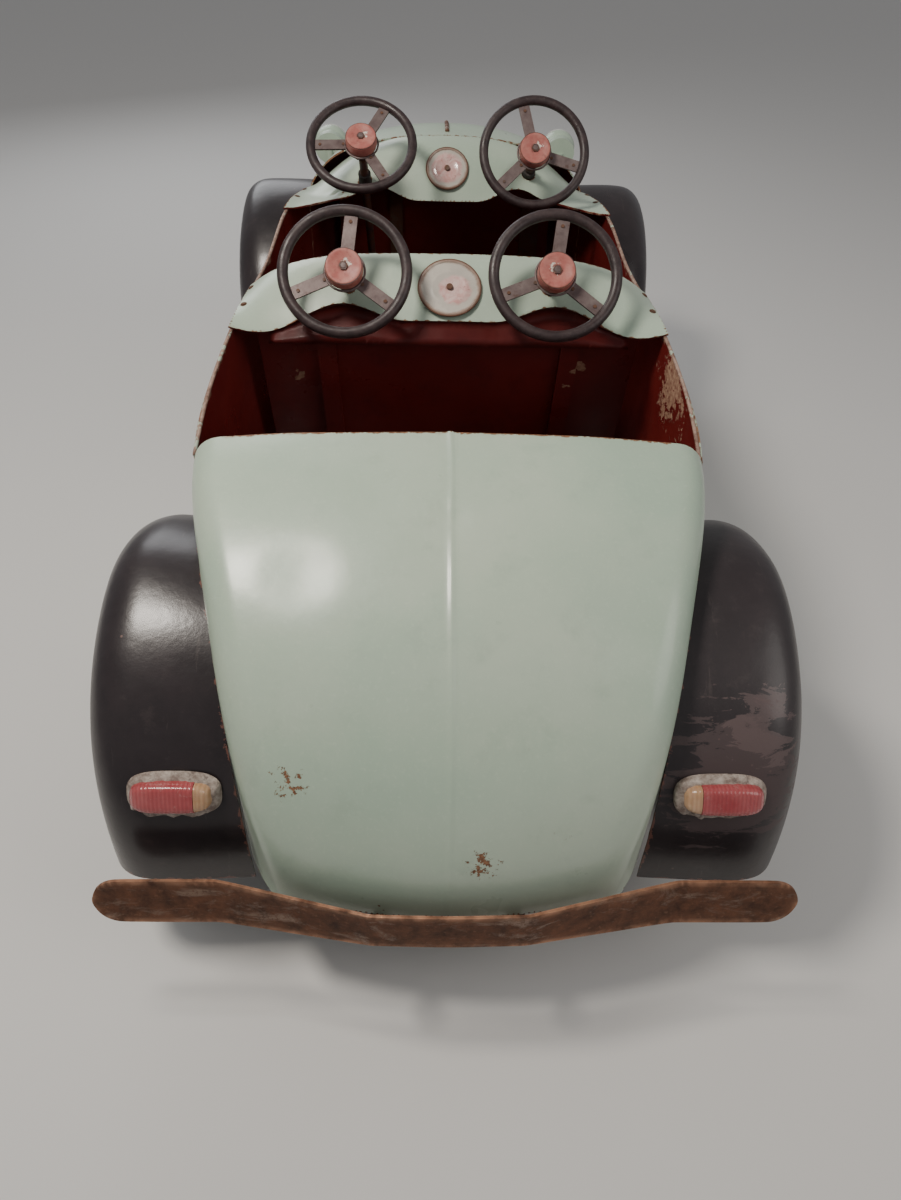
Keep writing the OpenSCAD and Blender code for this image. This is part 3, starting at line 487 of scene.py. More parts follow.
def rusty_plate(name, shine, rust_share=0.5, colour=(0.40, 0.31, 0.25), scratched=0.5):
    """Nickel plate worn through to brown rust in drifting patches."""
    p = Paint(name)
    drift = p.noise(1.0, 8, 0.72, p.stretched((13, 30, 30)), 0.6)
    rusted = p.ramp(drift, rust_share - 0.05, rust_share + 0.06, 1.0, 0.0)
    pits = p.ramp(p.noise(230, 4, 0.75), 0.50, 0.60)
    rusted = p.most(rusted, p.times(pits, 0.75))
    brown = p.mix((0.050, 0.019, 0.009), (0.17, 0.065, 0.030), p.ramp(p.noise(42, 6, 0.7), 0.32, 0.68))
    brown = p.mix(brown, (0.26, 0.13, 0.07), p.ramp(p.noise(150, 4), 0.6, 0.78, 0, 0.6))
    shade = p.mix(colour, brown, rusted)
    rubbed_bright = p.times(p.held("rim"), p.ramp(p.noise(40, 4), 0.32, 0.55))
    shade = p.mix(shade, (0.62, 0.33, 0.20), p.times(rubbed_bright, 0.8))
    scratch = p.noise(1.0, 5, 0.7, p.stretched((20, 260, 260)))
    shade = p.mix(shade, (0.44, 0.34, 0.27), p.ramp(scratch, 0.62, 0.72, 0, scratched))
    metal = p.level(p.level(0.85, 0.12, rusted), 0.9, p.times(rubbed_bright, 0.8))
    rough = p.level(p.ramp(drift, 0.4, 0.7, shine + 0.14, shine), 0.78, rusted)
    rough = p.level(rough, 0.34, p.times(rubbed_bright, 0.7))
    return p.finish(shade, rough, metal, p.bump(p.noise(120, 5, 0.75), 0.0007, 0.8))


plated = rusty_plate("worn_plate", 0.26, 0.50)
wire_rim("bonnet_ridge", ridge_path, 0.0042, plated, "bumper_steel")

# ---- grille -------------------------------------------------------------------------------
# A slatted casting behind the front bumper; the bars are plated, rusting from their roots.
frame["nodes"]["grille"].data.materials.clear()
frame["nodes"]["grille"].data.materials.append(plated)

# ---- fenders ------------------------------------------------------------------------------
# Four deep pressings, bolted to the body; gloss black, the right rear one patched by brush.
def fender_black(name, patched=False):
    p = Paint(name)
    shade = p.mix((0.018, 0.013, 0.0145), (0.034, 0.025, 0.027), p.ramp(p.noise(8, 6, 0.65), 0.35, 0.7))
    dust = p.ramp(p.noise(34, 6, 0.75), 0.56, 0.80)
    shade = p.mix(shade, (0.085, 0.066, 0.064), p.times(dust, 0.35))
    scuffs = p.ramp(p.noise(1.0, 5, 0.7, p.stretched((70, 9, 12), turn=(0, 0.4, 0.5))), 0.64, 0.72)
    shade = p.mix(shade, (0.12, 0.095, 0.09), p.times(scuffs, 0.30))
    gloss = p.ramp(p.noise(7, 5), 0.3, 0.7, 0.26, 0.38)
    chips = p.times(p.ramp(p.cells(34), 0.075, 0.04), p.ramp(p.noise(12, 3), 0.52, 0.60))
    shade = p.mix(shade, (0.20, 0.12, 0.10), p.times(chips, 0.8))
    if patched:
        strokes = p.noise(1.0, 6, 0.72, p.stretched((14, 30, 60), turn=(0.3, 0.5, 0.9)), 0.8)
        dull = p.torn(p.spot((0.36, -0.86, 0.33), 0.17, 0.75), strokes, -0.45, 0.45, 0.62)
        shade = p.mix(shade, (0.078, 0.052, 0.052), p.times(dull, 0.75))
        second = p.past(p.plus(p.spot((0.40, -0.80, 0.38), 0.10, 0.7), p.ramp(
            strokes, 0.35, 0.65, -0.4, 0.4)), 0.75)
        shade = p.mix(shade, (0.13, 0.088, 0.086), p.times(second, 0.6))
        gloss = p.level(p.plus(gloss, 0.10), 0.62, dull)
    edge = p.past(p.plus(p.times(p.held("rim"), 0.5), p.noise(75, 5, 0.7)), 0.87)
    shade = p.mix(shade, (0.15, 0.065, 0.05), edge)
    normal = p.bump(p.noise(46, 3), 0.0011, 0.42, p.bump(p.noise(420, 2), 0.00012, 0.5))
    return p.finish(shade, gloss, normal=normal, Coat_Weight=0.15, Coat_Roughness=0.2)


black = fender_black("fender_black")
patched_black = fender_black("patched_black", True)
fender_skins = {}
for node in ("rear_fender_left", "rear_fender_right", "front_fender_left", "front_fender_right"):
    fender = pressing(node, node + "_skin", 2, rim_reach=0.005)
    dressed(fender, 0.0022, 9.0, 1.7 if "left" in node else 6.2)
    inner = {}
    for v in fender.data.vertices:
        key = round(v.co.y / 0.012)
        inner[key] = min(inner.get(key, 9), abs(v.co.x))
    for v in fender.data.vertices:
        near_body = max(0, 1 - (abs(v.co.x) - inner[round(v.co.y / 0.012)]) / 0.035)
        v.co.x -= math.copysign(0.0055 * near_body, v.co.x)
    fitted(fender, patched_black if node == "rear_fender_right" else black, "black_paint", node)
    fender_skins[node] = fender

# ---- bumpers ------------------------------------------------------------------------------
# A flat steel strip with round ends, bent at four places; its plating has mostly gone.
bumper_rust = rusty_plate("bumper_rust", 0.34, 0.59, (0.21, 0.14, 0.105), 0.16)
for node in ("rear_bumper", "front_bumper"):
    strip = pressing(node, node + "_strip", 2, rim_reach=0.0035, crease_over=50)
    fitted(strip, bumper_rust, "bumper_steel", node)


def painted_steel(name, colour, rough=0.5, rust=0.35):
    p = Paint(name)
    shade = p.mix(colour, tuple(c * 2.2 for c in colour), p.ramp(p.noise(12, 6, 0.7), 0.4, 0.75))
    rusted = p.ramp(p.noise(46, 6, 0.75), 0.60 - rust * 0.2, 0.68 - rust * 0.2)
    shade = p.mix(shade, (0.12, 0.05, 0.025), p.times(rusted, 0.8))
    return p.finish(shade, p.level(rough, 0.8, rusted), normal=p.bump(p.noise(140, 4), 0.0004, 0.7))


def coat(material, *nodes):
    for node in nodes:
        frame["nodes"][node].data.materials.clear()
        frame["nodes"][node].data.materials.append(material)


frame_black = painted_steel("frame_black", (0.018, 0.016, 0.018))
coat(frame_black, "bumper_brackets", "chassis_frame", "front_axle_beam", "knuckle_left",
     "knuckle_right", "tie_rod")

# ---- bolts --------------------------------------------------------------------------------
# Hexagon heads on washers hold the bumper brackets and wheels, and pan heads the rest; a tree
# sets each kind out on points that hold the way each one faces.
def new_tree(name, inputs):
    """A geometry tree that takes a shape and the named sizes, and gives a shape back."""
    tree = bpy.data.node_groups.new(name, "GeometryNodeTree")
    face = tree.interface
    face.new_socket("Geometry", in_out="INPUT", socket_type="NodeSocketGeometry")
    for label, value in inputs.items():
        kind = "NodeSocketInt" if isinstance(value, int) else "NodeSocketFloat"
        face.new_socket(label, in_out="INPUT", socket_type=kind).default_value = value
    face.new_socket("Geometry", in_out="OUTPUT", socket_type="NodeSocketGeometry")
    return tree, tree.nodes.new("NodeGroupInput").outputs


def set_out(tree, points, shape, turn, material):
    """Ends a tree: the shape on every point, turned, made real and given its material."""
    put, real, paint, result = [tree.nodes.new(kind) for kind in (
        "GeometryNodeInstanceOnPoints", "GeometryNodeRealizeInstances",
        "GeometryNodeSetMaterial", "NodeGroupOutput")]
    paint.inputs["Material"].default_value = material
    for source, socket in ((points, put.inputs["Points"]), (shape, put.inputs["Instance"]),
                           (turn, put.inputs["Rotation"]), (put.outputs[0], real.inputs[0]),
                           (real.outputs[0], paint.inputs["Geometry"]), (paint.outputs[0], result.inputs[0])):
        tree.links.new(source, socket)
    return tree


def bolt_tree(name, material, head, height, sides):
    tree, given = new_tree(name, {"Head radius": head, "Head height": height, "Washer radius": head * 1.45})
    make, link = tree.nodes.new, tree.links.new
    nut = make("GeometryNodeMeshCylinder")
    nut.inputs["Vertices"].default_value = sides
    link(given["Head radius"], nut.inputs["Radius"])
    link(given["Head height"], nut.inputs["Depth"])
    washer = make("GeometryNodeMeshCylinder")
    washer.inputs["Vertices"].default_value = 20
    washer.inputs["Depth"].default_value = 0.0012
    link(given["Washer radius"], washer.inputs["Radius"])
    raised = make("GeometryNodeTransform")
    lift = make("ShaderNodeCombineXYZ")
    half = make("ShaderNodeMath")
    half.operation = "MULTIPLY"
    half.inputs[1].default_value = 0.5
    link(given["Head height"], half.inputs[0])
    link(half.outputs[0], lift.inputs["Z"])
    link(nut.outputs["Mesh"], raised.inputs["Geometry"])
    link(lift.outputs[0], raised.inputs["Translation"])
    both = make("GeometryNodeJoinGeometry")
    link(raised.outputs[0], both.inputs[0])
    link(washer.outputs["Mesh"], both.inputs[0])
    facing = make("GeometryNodeInputNamedAttribute")
    facing.data_type = "FLOAT_VECTOR"
    facing.inputs["Name"].default_value = "facing"
    turn = make("FunctionNodeAlignRotationToVector")
    turn.axis = "Z"
    link(facing.outputs[0], turn.inputs["Vector"])
    points = make("GeometryNodeMeshToPoints")
    link(given["Geometry"], points.inputs["Mesh"])
    return set_out(tree, points.outputs["Points"], both.outputs[0], turn.outputs["Rotation"], material)


def bolted(name, tree, spots, slot, body="root", **sizes):
    """Runs a bolt tree over (point, facing) pairs and keeps the plain mesh."""
    mesh = bpy.data.meshes.new(name)
    mesh.from_pydata([tuple(point) for point, facing in spots], [], [])
    way = mesh.attributes.new("facing", "FLOAT_VECTOR", "POINT")
    way.data.foreach_set("vector", [c for point, facing in spots for c in facing])
    thing = bpy.data.objects.new(name + "_points", mesh)
    bpy.context.collection.objects.link(thing)
    setting = thing.modifiers.new("bolts", "NODES")
    setting.node_group = tree
    for item in tree.interface.items_tree:
        if item.in_out == "INPUT" and item.name in sizes:
            setting[item.identifier] = sizes[item.name]
    made = evaluated(thing, name)
    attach(made, body)
    return made


def surface(thing, origin, way):
    """Where a ray meets a finished skin, and which way the skin faces there."""
    hit, point, normal, face = thing.ray_cast(Vector(origin), Vector(way).normalized())
    return (point, normal) if hit else None


rusty_screw = painted_steel("rusty_screw", (0.075, 0.045, 0.032), 0.45, 0.9)
hex_bolts = bolt_tree("hexagon_bolts", rusty_screw, 0.0052, 0.0036, 6)
pan_screws = bolt_tree("pan_screws", rusty_screw, 0.0038, 0.0018, 14)
spots = []
for side in (-1, 1):
    for cowl_name, low, high in (("rear_cowl", cowl_low, cowl_high),
                                 ("front_cowl", front_cowl_low, front_cowl_high)):
        skin = bpy.data.objects[cowl_name + "_skin"]
        for share, forward_share in ((0.955, 0.45), (0.945, 0.85)):
            x = side * share * min(abs(low.x), high.x)
            found = surface(skin, (x, low.y + forward_share * (high.y - low.y), 1.2), (0, 0, -1))
            if found and found[1].z > 0.2:
                spots.append(found)
bolted("cowl_screws", pan_screws, spots, "screw_steel")
spots = []
for side, word in ((-1, "left"), (1, "right")):
    for y in (0.60, 0.70, 0.78):
        found = surface(fender_skins["front_fender_" + word], (side * 0.26, y, 1.0), (0, 0, -1))
        if found and found[1].z > 0.3:
            spots.append(found)
bolted("fender_bolts", pan_screws, spots, "screw_steel")
bracket_low, bracket_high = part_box("bumper_brackets")
BRACKET_X, BRACKET_TOP = 0.118, 0.1705
bracket_rows = ((bracket_low.y + 0.05, bracket_low.y + 0.105), (bracket_high.y - 0.045, bracket_high.y - 0.085))
spots = [(Vector((side * BRACKET_X, y, BRACKET_TOP)), Vector((0, 0, 1)))
         for pair in bracket_rows for side in (-1, 1) for y in pair]
bolted("bracket_bolts", hex_bolts, spots, "screw_steel")

# ---- tail lamps ---------------------------------------------------------------------------
# A ribbed plastic lens, red with an amber inner end, bedded in hand-laid putty that has
# crusted and cracked round it.
LAMP_TILT = math.radians(59.8)
lamp_across = Vector((0, math.cos(LAMP_TILT), math.sin(LAMP_TILT)))
lamp_up = Vector((0, -math.sin(LAMP_TILT), math.cos(LAMP_TILT)))


def dome(name, centre, half_long, half_wide, height, squareness, shoulder,
         rough=0.0, seed=0.0, keep=None, mirror=1):
    """A pillow with a flat back on the fender, its long axis across the car."""
    work = bmesh.new()
    rings, spokes = 26, 96
    grid = []
    for i in range(1, rings + 1):
        r = (i / rings) ** 0.8
        row = []
        for k in range(spokes):
            a = math.tau * k / spokes
            c, s = math.cos(a), math.sin(a)
            x = half_long * r * math.copysign(abs(c) ** (2 / squareness), c)
            y = half_wide * r * math.copysign(abs(s) ** (2 / squareness), s)
            row.append(work.verts.new((x, y, height * max(0, 1 - r ** shoulder) ** 0.42)))
        grid.append(row)
    peak = work.verts.new((0, 0, height))
    for k in range(spokes):
        work.faces.new((peak, grid[0][k], grid[0][(k + 1) % spokes]))
        for a, b in zip(grid, grid[1:]):
            work.faces.new((a[k], b[k], b[(k + 1) % spokes], a[(k + 1) % spokes]))
    work.faces.new(grid[-1][::-1])
    if keep:
        cut = bmesh.ops.bisect_plane(work, geom=work.verts[:] + work.edges[:] + work.faces[:], dist=1e-6,
                                     plane_co=(keep[0], 0, 0), plane_no=(keep[1], 0, 0), clear_outer=True)
        bmesh.ops.edgenet_fill(work, edges=[e for e in cut["geom_cut"] if isinstance(e, bmesh.types.BMEdge)])
    for v in work.verts:
        if rough and v.co.z > height * 0.02:
            coarse = noise.noise(v.co * 75 + Vector((seed, 0, 0)))
            shift = coarse + 0.5 * noise.noise(v.co * 190 + Vector((0, seed, 0)))
            v.co.x *= 1 + 0.5 * rough / half_long * shift
            v.co.y *= 1 + rough / half_wide * shift
            v.co.z += 0.6 * rough * shift
        local = v.co.copy()
        v.co = Vector(centre) + Vector((mirror * local.x, 0, 0)) + lamp_across * local.y + lamp_up * local.z
    bmesh.ops.recalc_face_normals(work, faces=work.faces)
    return piece_of(name, work, 50)


def lens_plastic(name, colour, pale):
    p = Paint(name)
    shade = p.mix(colour, pale, p.ramp(p.noise(26, 5, 0.6), 0.35, 0.72))
    ribs = p.node("ShaderNodeTexWave", bands_direction="X")
    p.feed(ribs.inputs["Vector"], p.place)
    p.feed(ribs.inputs["Scale"], 62.0)
    shade = p.mix(shade, tuple(0.72 * c for c in colour), p.times(ribs.outputs["Fac"], 0.35))
    film = p.ramp(p.noise(75, 6, 0.75), 0.55, 0.8, 0, 0.55)
    shade = p.mix(shade, (0.40, 0.25, 0.22), film)
    normal = p.bump(ribs.outputs["Fac"], 0.0005, 0.55, p.bump(p.noise(150, 3), 0.0002, 0.5))
    return p.finish(shade, p.level(0.24, 0.5, film), normal=normal, Coat_Weight=0.3, Coat_Roughness=0.12,
                    Subsurface_Weight=0.08, Subsurface_Scale=0.004)


def crusted_putty():
    p = Paint("crusted_putty")
    shade = p.mix((0.20, 0.15, 0.125), (0.50, 0.43, 0.375), p.ramp(p.noise(80, 6, 0.75), 0.38, 0.66))
    shade = p.mix(shade, (0.045, 0.03, 0.028), p.ramp(p.noise(46, 5, 0.7), 0.56, 0.66, 0, 0.85))
    return p.finish(shade, 0.72, normal=p.bump(p.noise(170, 6, 0.75), 0.0014, 1.0))


red_lens = lens_plastic("red_lens", (0.36, 0.052, 0.058), (0.47, 0.13, 0.13))
amber_lens = lens_plastic("amber_lens", (0.46, 0.25, 0.12), (0.62, 0.42, 0.28))
putty = crusted_putty()
for side, word in ((-1, "left"), (1, "right")):
    low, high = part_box("tail_lamp_lens_" + word)
    middle = (low + high) / 2
    seat = Vector((side * 0.343, middle.y, middle.z)) - lamp_up * 0.0175
    rim = dome("tail_lamp_putty_" + word, seat, 0.0592, 0.0295, 0.0125, 3.0, 3.0,
               rough=0.0042, seed=3.0 * side, mirror=side)
    fitted(rim, putty, "gasket", *(["tail_lamp_gaskets"] if side < 0 else []))
    bed = seat + lamp_up * 0.0075 + Vector((side * 0.0015, 0, 0))
    lens = dome("tail_lamp_red_" + word, bed, 0.0505, 0.0205, 0.0185, 3.6, 5.5, keep=(-0.0300, -1), mirror=side)
    fitted(lens, red_lens, "lens_red", "tail_lamp_lens_" + word)
    end = dome("tail_lamp_amber_" + word, bed, 0.0500, 0.0200, 0.0178, 3.6, 5.5, keep=(-0.0306, 1), mirror=side)
    fitted(end, amber_lens, "lens_amber", *(["tail_lamp_reflectors"] if side < 0 else []))

# ---- headlamps ----------------------------------------------------------------------------
# Spun bullet shells on short stalks, with a plated ring round a ribbed, clouded glass.
def lathed(name, profile, centre, axis, turns=72):
    """A turned piece: (radius, height) points swept round an axis through a centre."""
    up = Vector(axis).normalized()
    side = up.orthogonal().normalized()
    other = up.cross(side)
    work = bmesh.new()
    rings = []
    for radius, height in profile:
        if radius < 1e-6:
            rings.append([work.verts.new(Vector(centre) + up * height)] * turns)
            continue
        angles = [math.tau * k / turns for k in range(turns)]
        rings.append([work.verts.new(Vector(centre) + up * height + radius * (
            math.cos(a) * side + math.sin(a) * other)) for a in angles])
    for a, b in zip(rings, rings[1:]):
        for k in range(turns):
            corners = []
            for v in (a[k], a[(k + 1) % turns], b[(k + 1) % turns], b[k]):
                if v not in corners:
                    corners.append(v)
            if len(corners) > 2:
                work.faces.new(corners)
    bmesh.ops.recalc_face_normals(work, faces=work.faces)
    return piece_of(name, work, 35)


def ring_profile(radius, thickness, height=0.0, steps=12):
    angles = [math.tau * i / steps for i in range(steps + 1)]
    return [(radius + thickness * math.cos(a), height + thickness * math.sin(a)) for a in angles]


def bead_ring(name, radius, thickness, centre, axis, turns=72):
    """A round ring; its first and last profile points meet, so they are merged."""
    thing = lathed(name, ring_profile(radius, thickness), centre, axis, turns)
    work = bmesh.new()
    work.from_mesh(thing.data)
    bmesh.ops.remove_doubles(work, verts=work.verts, dist=1e-6)
    bmesh.ops.recalc_face_normals(work, faces=work.faces)
    work.to_mesh(thing.data)
    work.free()
    return thing


def lamp_glass():
    p = Paint("lamp_glass")
    cloud = p.ramp(p.noise(30, 5), 0.4, 0.75)
    shade = p.mix((0.72, 0.74, 0.70), (0.46, 0.42, 0.34), cloud)
    flutes = p.node("ShaderNodeTexWave", bands_direction="X")
    p.feed(flutes.inputs["Vector"], p.place)
    p.feed(flutes.inputs["Scale"], 40.0)
    return p.finish(shade, p.ramp(cloud, 0, 1, 0.08, 0.35), normal=p.bump(flutes.outputs["Fac"], 0.0008, 0.6),
                    Coat_Weight=0.6, Coat_Roughness=0.05)


coat(mint, "headlamp_shells")
coat(lamp_glass(), "headlamp_lenses")
low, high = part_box("headlamp_lenses")
for side, word in ((-1, "left"), (1, "right")):
    centre = (side * (high.x - 0.038), low.y - 0.0005, (low.z + high.z) / 2)
    fitted(bead_ring("headlamp_ring_" + word, 0.0345, 0.0028, centre, (0, 1, 0)), plated, "bumper_steel")

# ---- dials --------------------------------------------------------------------------------
# A round plastic dial on each cowl, pinned through its middle, its printed back mottled pink
# by damp and its edge bound with a thin rusty ring.
def dial_plastic(name, centre, radius, pink_at, pink_radius):
    p = Paint(name)
    shade = p.mix((0.46, 0.425, 0.37), (0.60, 0.55, 0.48), p.ramp(p.noise(22, 4), 0.35, 0.7))
    pink = p.mix((0.60, 0.33, 0.30), (0.70, 0.52, 0.48), p.ramp(p.noise(48, 5, 0.7, twist=1.2), 0.40, 0.62))
    pink = p.mix(pink, (0.30, 0.10, 0.09), p.ramp(p.noise(95, 4, 0.7, twist=2.0), 0.61, 0.70, 0, 0.75))
    shade = p.mix(shade, pink, p.spot(pink_at, pink_radius, 0.16, 0.0025, 90))
    centre_mark = p.spot(centre, 0.0065, 0.4, 0.0015, 220)
    shade = p.mix(shade, (0.07, 0.03, 0.025), p.times(centre_mark, 0.85))
    edge = p.without(p.spot(centre, radius * 0.95, 0.10, 0.002, 80))
    shade = p.mix(shade, (0.22, 0.10, 0.06), p.times(edge, 0.7))
    return p.finish(shade, p.ramp(p.noise(30, 4), 0.3, 0.7, 0.16, 0.34),
                    normal=p.bump(p.noise(60, 3), 0.0004, 0.4),
                    Coat_Weight=0.6, Coat_Roughness=0.08)


ring_rust = painted_steel("ring_rust", (0.10, 0.048, 0.032), 0.6, 1.0)
for node, tilt, radius in (("rear_dial", 35.2, 0.0485), ("front_dial", 47.7, 0.040)):
    low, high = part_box(node)
    centre = (low + high) / 2
    up = Vector((0, -math.sin(math.radians(tilt)), math.cos(math.radians(tilt))))
    across = Vector((0, up.z, -up.y))
    base = -0.002
    profile = [(0.0, base), (radius, base), (radius, 0.0012), (radius - 0.0012, 0.0022)]
    profile += [(radius * share, height) for share, height in (
        (0.93, 0.0021), (0.90, 0.0008), (0.62, 0.0009), (0.58, 0.0016), (0.52, 0.0016), (0.48, 0.0008))]
    profile.append((0.0, 0.0010))
    face = lathed(node + "_face", profile, centre, up, 96)
    pink_at = centre + Vector((0.009, 0, 0)) - across * 0.004 if node == "rear_dial" else centre
    pink_radius = radius * (0.56 if node == "rear_dial" else 0.80)
    fitted(face, dial_plastic(node + "_plastic", centre, radius, pink_at, pink_radius), "dial_face", node)
    ring = bead_ring(node + "_ring", radius + 0.0006, 0.0014, centre + up * 0.0002, up, 96)
    fitted(ring, ring_rust, "dial_face")
coat(rusty_screw, "dial_screws")

# ---- steering wheels ----------------------------------------------------------------------
# Dark moulded rims on three flat steel spokes, with a red turned hub whose paint is chipped
# round the pin that holds it to its column.
def rim_plastic():
    p = Paint("rim_plastic")
    shade = p.mix((0.022, 0.012, 0.013), (0.052, 0.032, 0.032), p.ramp(p.noise(60, 5, 0.7), 0.36, 0.68))
    # The lighter purple-brown mottling is partly wear and partly painted highlight.
    shade = p.mix(shade, (0.12, 0.088, 0.082), p.ramp(p.noise(130, 5, 0.75), 0.60, 0.74, 0, 0.7))
    return p.finish(shade, p.ramp(p.noise(40, 5), 0.3, 0.7, 0.34, 0.62),
                    normal=p.bump(p.noise(210, 4), 0.0005, 0.8))


def spoke_steel():
    p = Paint("spoke_steel")
    shade = p.mix((0.115, 0.078, 0.076), (0.21, 0.165, 0.155), p.ramp(p.noise(38, 6, 0.7), 0.34, 0.7))
    shade = p.mix(shade, (0.085, 0.038, 0.026), p.ramp(p.noise(70, 5, 0.7), 0.58, 0.7, 0, 0.8))
    return p.finish(shade, p.ramp(p.noise(60), 0.3, 0.7, 0.35, 0.6), 0.35, p.bump(p.noise(260, 4), 0.0003, 0.7))


def hub_red(name, centre, chip_at):
    p = Paint(name)
    shade = p.mix((0.36, 0.095, 0.080), (0.47, 0.185, 0.150), p.ramp(p.noise(55, 5, 0.7), 0.35, 0.68))
    shade = p.mix(shade, (0.13, 0.032, 0.028), p.ramp(p.noise(120, 4), 0.58, 0.74, 0, 0.6))
    chip = p.torn(p.spot(chip_at, 0.0135, 0.8), p.noise(150, 4, 0.7), -0.55, 0.55, 0.62)
    shade = p.mix(shade, (0.72, 0.64, 0.56), chip)
    # A dark disc round the pin is painted shade of the centre hole that the pin sits in.
    hole_shade = p.spot(centre, 0.0095, 0.25, 0.001, 300)
    shade = p.mix(shade, (0.10, 0.05, 0.04), p.times(hole_shade, 0.5))
    return p.finish(shade, p.ramp(p.noise(70), 0.3, 0.7, 0.38, 0.6), normal=p.bump(
        p.without(chip), 0.0005, 0.8, p.bump(p.noise(240, 3), 0.0003, 0.6)))


shaft_steel = painted_steel("shaft_steel", (0.05, 0.028, 0.026), 0.45, 0.7)
rim_dark, spoke_grey = rim_plastic(), spoke_steel()
HUB_COVER = [(0.0, 0.0011), (0.0268, 0.0011), (0.0284, 0.0022), (0.0286, 0.0045), (0.0286, 0.0188),
             (0.0279, 0.0205), (0.0262, 0.0220), (0.0215, 0.0223), (0.0205, 0.0217), (0.0, 0.0219)]
HUB_PIN = [(0.0, 0.0214), (0.0050, 0.0214), (0.0050, 0.0236), (0.0038, 0.0246), (0.0, 0.0248)]
HUB_TOP = 0.0213
SPOKE_TURN = {"rear_left": 84, "rear_right": 82, "front_left": 62, "front_right": 104}
for joint in frame["joints"]:
    if not joint["child"].startswith("steering_"):
        continue
    seat = joint["child"][len("steering_"):]
    hub, up = Vector(joint["pos_m"]), Vector(joint["axis"])
    coat(rim_dark, "steering_rim_" + seat)
    coat(spoke_grey, "steering_spider_" + seat)
    coat(shaft_steel, "steering_column_" + seat)
    top = hub + up * HUB_TOP
    chip_at = top + Vector((random.Random(seat).uniform(-0.006, 0.006), 0.004, 0))
    cover = lathed("hub_cover_" + seat, HUB_COVER, hub, up)
    fitted(cover, hub_red("hub_red_" + seat, top, chip_at), "hub_red", body=joint["child"])
    pin = lathed("hub_pin_" + seat, HUB_PIN, hub, up, 24)
    fitted(pin, spoke_grey, "spoke_steel", body=joint["child"])
    along = Vector((1, 0, 0))
    over = up.cross(along)
    rivets = []
    for k in range(3):
        a = math.radians(SPOKE_TURN[seat] + 120 * k)
        way = along * math.cos(a) + over * math.sin(a)
        for reach in (0.0335, 0.0765):
            rivets.append((hub + way * reach + up * 0.0012, up))
    bolted("spoke_rivets_" + seat, pan_screws, rivets, "spoke_steel", joint["child"],
           **{"Head radius": 0.0026, "Head height": 0.0012, "Washer radius": 0.0028})
    collar = bead_ring("rim_collar_" + seat, 0.0305, 0.0018, hub + up * 0.0006, up)
    fitted(collar, spoke_grey, "spoke_steel", body=joint["child"])

# ---- cabin --------------------------------------------------------------------------------
# Bulkhead, pan, toe board and seats in oxblood paint; the seats are wood, screwed down at
# their ends.
seat_red = oxblood("seat_red", [((0.1, 0.02, 0.316), 0.12)])
bulkhead_red = oxblood("bulkhead_red", [((-0.255, -0.16, 0.50), 0.010), ((0.222, -0.17, 0.525), 0.009),
                                        ((0.205, -0.16, 0.48), 0.008)])
coat(seat_red, "front_seat", "rear_seat")
coat(bulkhead_red, "seat_bulkhead")
coat(oxblood("pan_red"), "floor_pan")
spots = []
for node in ("front_seat", "rear_seat"):
    low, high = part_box(node)
    for side in (-1, 1):
        spots += [(Vector((side * (high.x - 0.02), y, high.z)), Vector((0, 0, 1)))
                  for y in (low.y + 0.025, high.y - 0.025)]
bolted("seat_screws", pan_screws, spots, "screw_steel")

# A thin folded strip closes the bulkhead up to the rear cowl's near edge.
STRIP_HALF, STRIP_PITCH, STRIP_ROWS = 0.28, 0.01, 3
knees = bmesh.new()
rear_dash = bpy.data.objects["rear_cowl_skin"]
board_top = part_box("seat_bulkhead")[1].z
columns = []
for i in range(57):
    x = -STRIP_HALF + STRIP_PITCH * i
    for k in range(30):
        met = rear_dash.ray_cast(Vector((x, cowl_low.y + 0.002 * k, 0.4)), Vector((0, 0, 1)))
        if met[0]:
            top = met[1] + Vector((0, 0.003, -0.002))
            foot = Vector((x, cowl_low.y + 0.003, board_top - 0.012))
            columns.append([knees.verts.new(foot.lerp(top, t / STRIP_ROWS)) for t in range(STRIP_ROWS + 1)])
            break
for a, b in zip(columns, columns[1:]):
    for k in range(STRIP_ROWS):
        knees.faces.new((a[k], b[k], b[k + 1], a[k + 1]))
bmesh.ops.solidify(knees, geom=knees.faces[:], thickness=0.0012)
fitted(piece_of("knee_strip", knees), bulkhead_red, "red_paint")

# The toe board is painted like the bulkhead; its two upright posts are bare and brown.
toe = frame["nodes"]["toe_board"].data
toe.materials.clear()
toe.materials.append(bulkhead_red)
toe.materials.append(rusty_screw)
post_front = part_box("toe_board")[1].y - 0.0045
for face in toe.polygons:
    face.material_index = 1 if face.center.y < post_front else 0

# ---- running gear -------------------------------------------------------------------------
# Cast blocks, a bright axle and crank, and a roller chain that runs under the seats.
def cast_iron():
    p = Paint("cast_iron")
    shade = p.mix((0.035, 0.031, 0.030), (0.075, 0.062, 0.056), p.ramp(p.noise(40, 6, 0.7), 0.35, 0.7))
    shade = p.mix(shade, (0.14, 0.06, 0.03), p.ramp(p.noise(28, 6, 0.75), 0.6, 0.72, 0, 0.7))
    return p.finish(shade, 0.7, 0.3, p.bump(p.noise(330, 5, 0.7), 0.0006, 0.9))


def oily_steel():
    p = Paint("oily_steel")
    shade = p.mix((0.20, 0.18, 0.165), (0.33, 0.31, 0.29), p.ramp(p.noise(50, 5), 0.35, 0.7))
    shade = p.mix(shade, (0.05, 0.032, 0.022), p.ramp(p.noise(24, 6, 0.75), 0.52, 0.64, 0, 0.9))
    return p.finish(shade, p.ramp(p.noise(70), 0.3, 0.7, 0.28, 0.5), 0.8, p.bump(p.noise(200, 4), 0.0003, 0.6))


